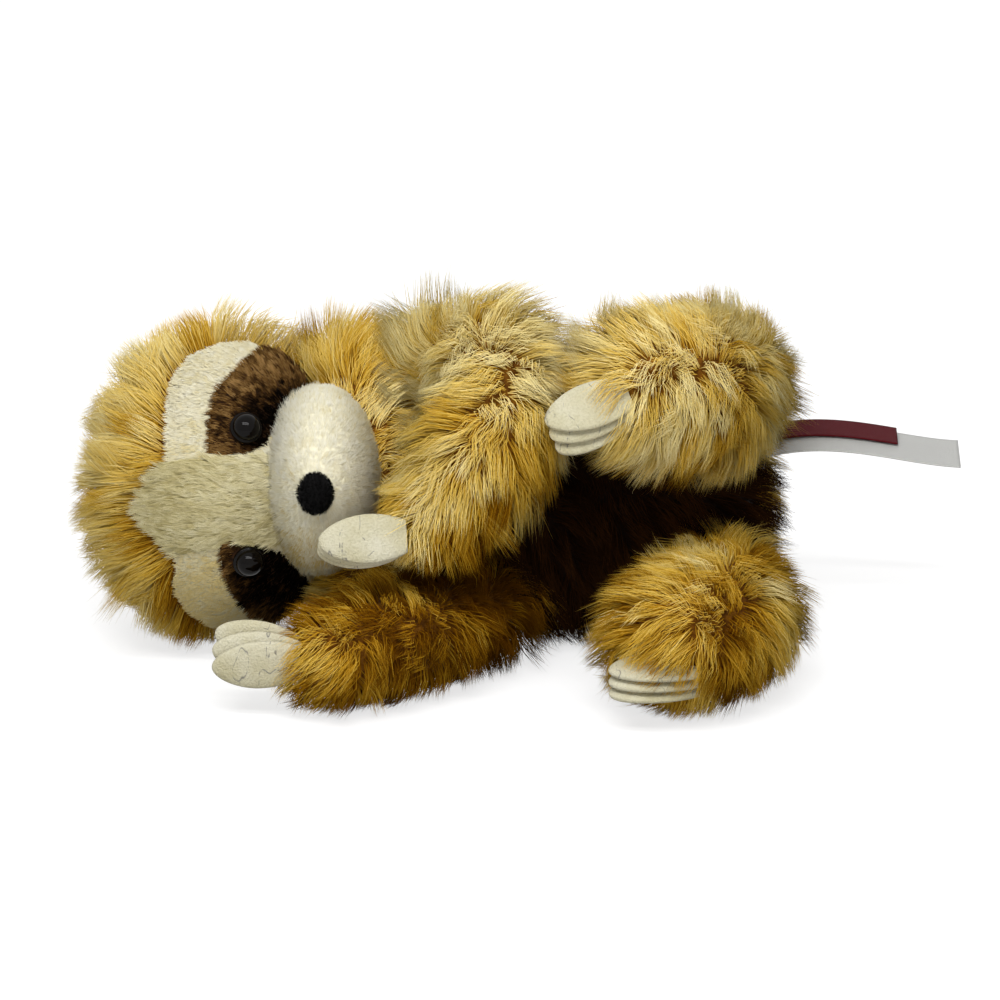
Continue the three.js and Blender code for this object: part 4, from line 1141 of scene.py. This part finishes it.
LABEL_ROOT = np.array(JOINTS["label_flex"]["pos_m"]) / MM
TILT = np.radians(65)
LABEL_ACROSS = -np.sin(TILT) * FRONT + np.cos(TILT) * LEFT
LABEL_UP = np.cos(TILT) * FRONT + np.sin(TILT) * LEFT
CARE_LENGTH, CARE_WIDTH, WOVEN_LENGTH, WOVEN_WIDTH = 64, 20, 44, 12
WOVEN_ASIDE, WOVEN_LIFT = 5, 1.2
WAVE_SHARES = np.array([[0, 0], [0.3, 1], [0.6, 0.2], [0.85, -0.9], [1, -1.3]])
LABEL_WAVE = WAVE_SHARES * [CARE_LENGTH, 0.04 * CARE_LENGTH]


def label_piece(name, length, width, aside, lift, look, node, slot):
    """A strip along one wave, a quartic through its stated places, and straight across."""
    steps, columns = 60, 20
    along = np.linspace(0, length, steps)
    height = np.polyval(np.polyfit(LABEL_WAVE[:, 0], LABEL_WAVE[:, 1], 4), along)
    across = np.linspace(-0.5, 0.5, columns)
    grid = LABEL_ROOT + along[:, None, None] * ALONG
    grid = grid + (across * width + aside)[None, :, None] * LABEL_ACROSS
    grid = grid + (height + lift)[:, None, None] * LABEL_UP
    row, column = np.meshgrid(np.arange(steps - 1), np.arange(columns - 1), indexing="ij")
    here = row * columns + column
    quads = np.stack([here, here + columns, here + columns + 1, here + 1], -1).reshape(-1, 4)
    uv = np.stack(np.meshgrid(along / length, across + 0.5, indexing="ij"), -1).reshape(-1, 2)
    piece = mesh_piece(name, grid.reshape(-1, 3), [quads], look, uv)
    add_wall(piece, 0.5, 0)
    dress(piece, "labels", slot, node)
    return piece


satin, tree, shader = new_material("label_satin", 0.45, 0.4, 0.2)
threads = add_noise(tree, 9.0, 2.0, stretch=(12, 130, 1), mapped=True)
add_two_tones(tree, shader, threads, (176, 176, 172), (214, 214, 210))
add_bump(tree, shader, threads, 0.0002)
woven, tree, shader = new_material("label_woven", 0.8, 0.1, 0.05)
threads = add_noise(tree, 10.0, 2.0, stretch=(90, 24, 1), mapped=True)
add_two_tones(tree, shader, threads, (62, 6, 14), (110, 18, 28))
add_bump(tree, shader, threads, 0.0003)
label_piece("care_label_strip", CARE_LENGTH, CARE_WIDTH, 0, 0, satin, "care_label", "satin")
label_piece("woven_label_strip", WOVEN_LENGTH, WOVEN_WIDTH, WOVEN_ASIDE, WOVEN_LIFT, woven,
            "woven_label", "woven_red")

kraft, tree, shader = new_material("kraft_card", 0.85, 0.2)
fibres = add_noise(tree, 700, 5.0, 0.7)
add_two_tones(tree, shader, fibres, (150, 126, 84), (186, 160, 112))
add_bump(tree, shader, fibres, 0.0002)
nylon, tree, shader = new_material("clear_nylon", 0.3, 0.5)
add_two_tones(tree, shader, add_noise(tree, 500), (205, 204, 198), (225, 224, 218))
moulded, tree, shader = new_material("moulded_white", 0.55, 0.4)
add_two_tones(tree, shader, add_noise(tree, 400), (226, 224, 214), (238, 236, 228))
SMALL_LOOKS = {
    "hang_tag": kraft, "tag_fastener": nylon,
    "eye_washer_left": moulded, "eye_washer_right": moulded,
}
for node, look in SMALL_LOOKS.items():
    for place in frame["nodes"][node].material_slots:
        place.material = look


# Room

def either(tree, first, *others):
    """The greatest of some sockets, by one Maximum node for each after the first."""
    for other in others:
        most = add_node(tree, "Math")
        most.operation = "MAXIMUM"
        put(tree, most.inputs[0], first)
        put(tree, most.inputs[1], other)
        first = most.outputs[0]
    return first


FLOOR_GREY, FLOOR_SEEN, FLOOR_REACH, ROOM_LIGHT = 0.4, 0.72, 3000.0, 0.34

# The floor is grey, and the camera and mirrors see an added white glow on it
floor_look = bpy.data.materials.new("floor_white")
floor_look.use_nodes = True
tree = floor_look.node_tree
tree.nodes.clear()
diffuse = add_node(tree, "BsdfDiffuse", Color=(FLOOR_GREY, FLOOR_GREY, FLOOR_GREY, 1))
rays = add_node(tree, "LightPath").outputs
scale = add_node(tree, "Math")
scale.operation = "MULTIPLY"
put(tree, scale.inputs[0], either(tree, rays["Is Camera Ray"], rays["Is Glossy Ray"]))
put(tree, scale.inputs[1], FLOOR_SEEN)
glow = add_node(tree, "Emission", Strength=scale.outputs[0])
both = add_node(tree, "AddShader")
tree.links.new(diffuse.outputs[0], both.inputs[0])
tree.links.new(glow.outputs[0], both.inputs[1])
add_node(tree, "OutputMaterial", Surface=both.outputs[0])
floor_corners = np.array([[-1, -1, 0], [1, -1, 0], [1, 1, 0], [-1, 1, 0]]) * FLOOR_REACH
floor = mesh_piece("floor", floor_corners, [np.array([[0, 1, 2, 3]])], floor_look)

# The room is white where it is seen, mirrored or looked through to, and lights more softly
world = bpy.data.worlds.new("room")
bpy.context.scene.world = world
world.use_nodes = True
tree = world.node_tree
background = tree.nodes["Background"]
rays = add_node(tree, "LightPath").outputs
seen = either(tree, rays["Is Camera Ray"], rays["Is Transmission Ray"], rays["Is Glossy Ray"])
level = add_node(tree, "MapRange", Value=seen)
put(tree, level.inputs["To Min"], ROOM_LIGHT)
put(tree, level.inputs["To Max"], 1.0)
put(tree, background.inputs["Color"], WHITE)
put(tree, background.inputs["Strength"], level.outputs["Result"])


def lamp(name, place, size, size_y, energy, mirrored):
    """A soft rectangular lamp that faces the toy."""
    light = bpy.data.lights.new(name, "AREA")
    light.shape = "RECTANGLE"
    light.size, light.size_y, light.energy = size, size_y, energy
    piece = bpy.data.objects.new(name, light)
    piece.location = place
    piece.rotation_euler = (Vector(aim) - Vector(place)).to_track_quat("-Z", "Y").to_euler()
    piece.visible_glossy = mirrored
    piece.visible_camera = False
    bpy.context.scene.collection.objects.link(piece)


# Place in metres, width, height and watts, and whether mirrors show it
lamp("key", (-0.2, -0.5, 1.25), 0.7, 0.7, 3.0, False)
lamp("fill", (-0.1, -1.35, 0.25), 0.9, 0.9, 5.5, False)
lamp("back", (0.1, 1.2, 0.9), 0.9, 0.9, 6.0, False)
lamp("strip_near", (-0.1, -0.78, 0.95), 1.0, 0.05, 4.8, True)
lamp("strip_far", (-0.1, -0.6, 1.07), 1.0, 0.05, 4.8, True)

bpy.context.scene.view_settings.view_transform = "Standard"
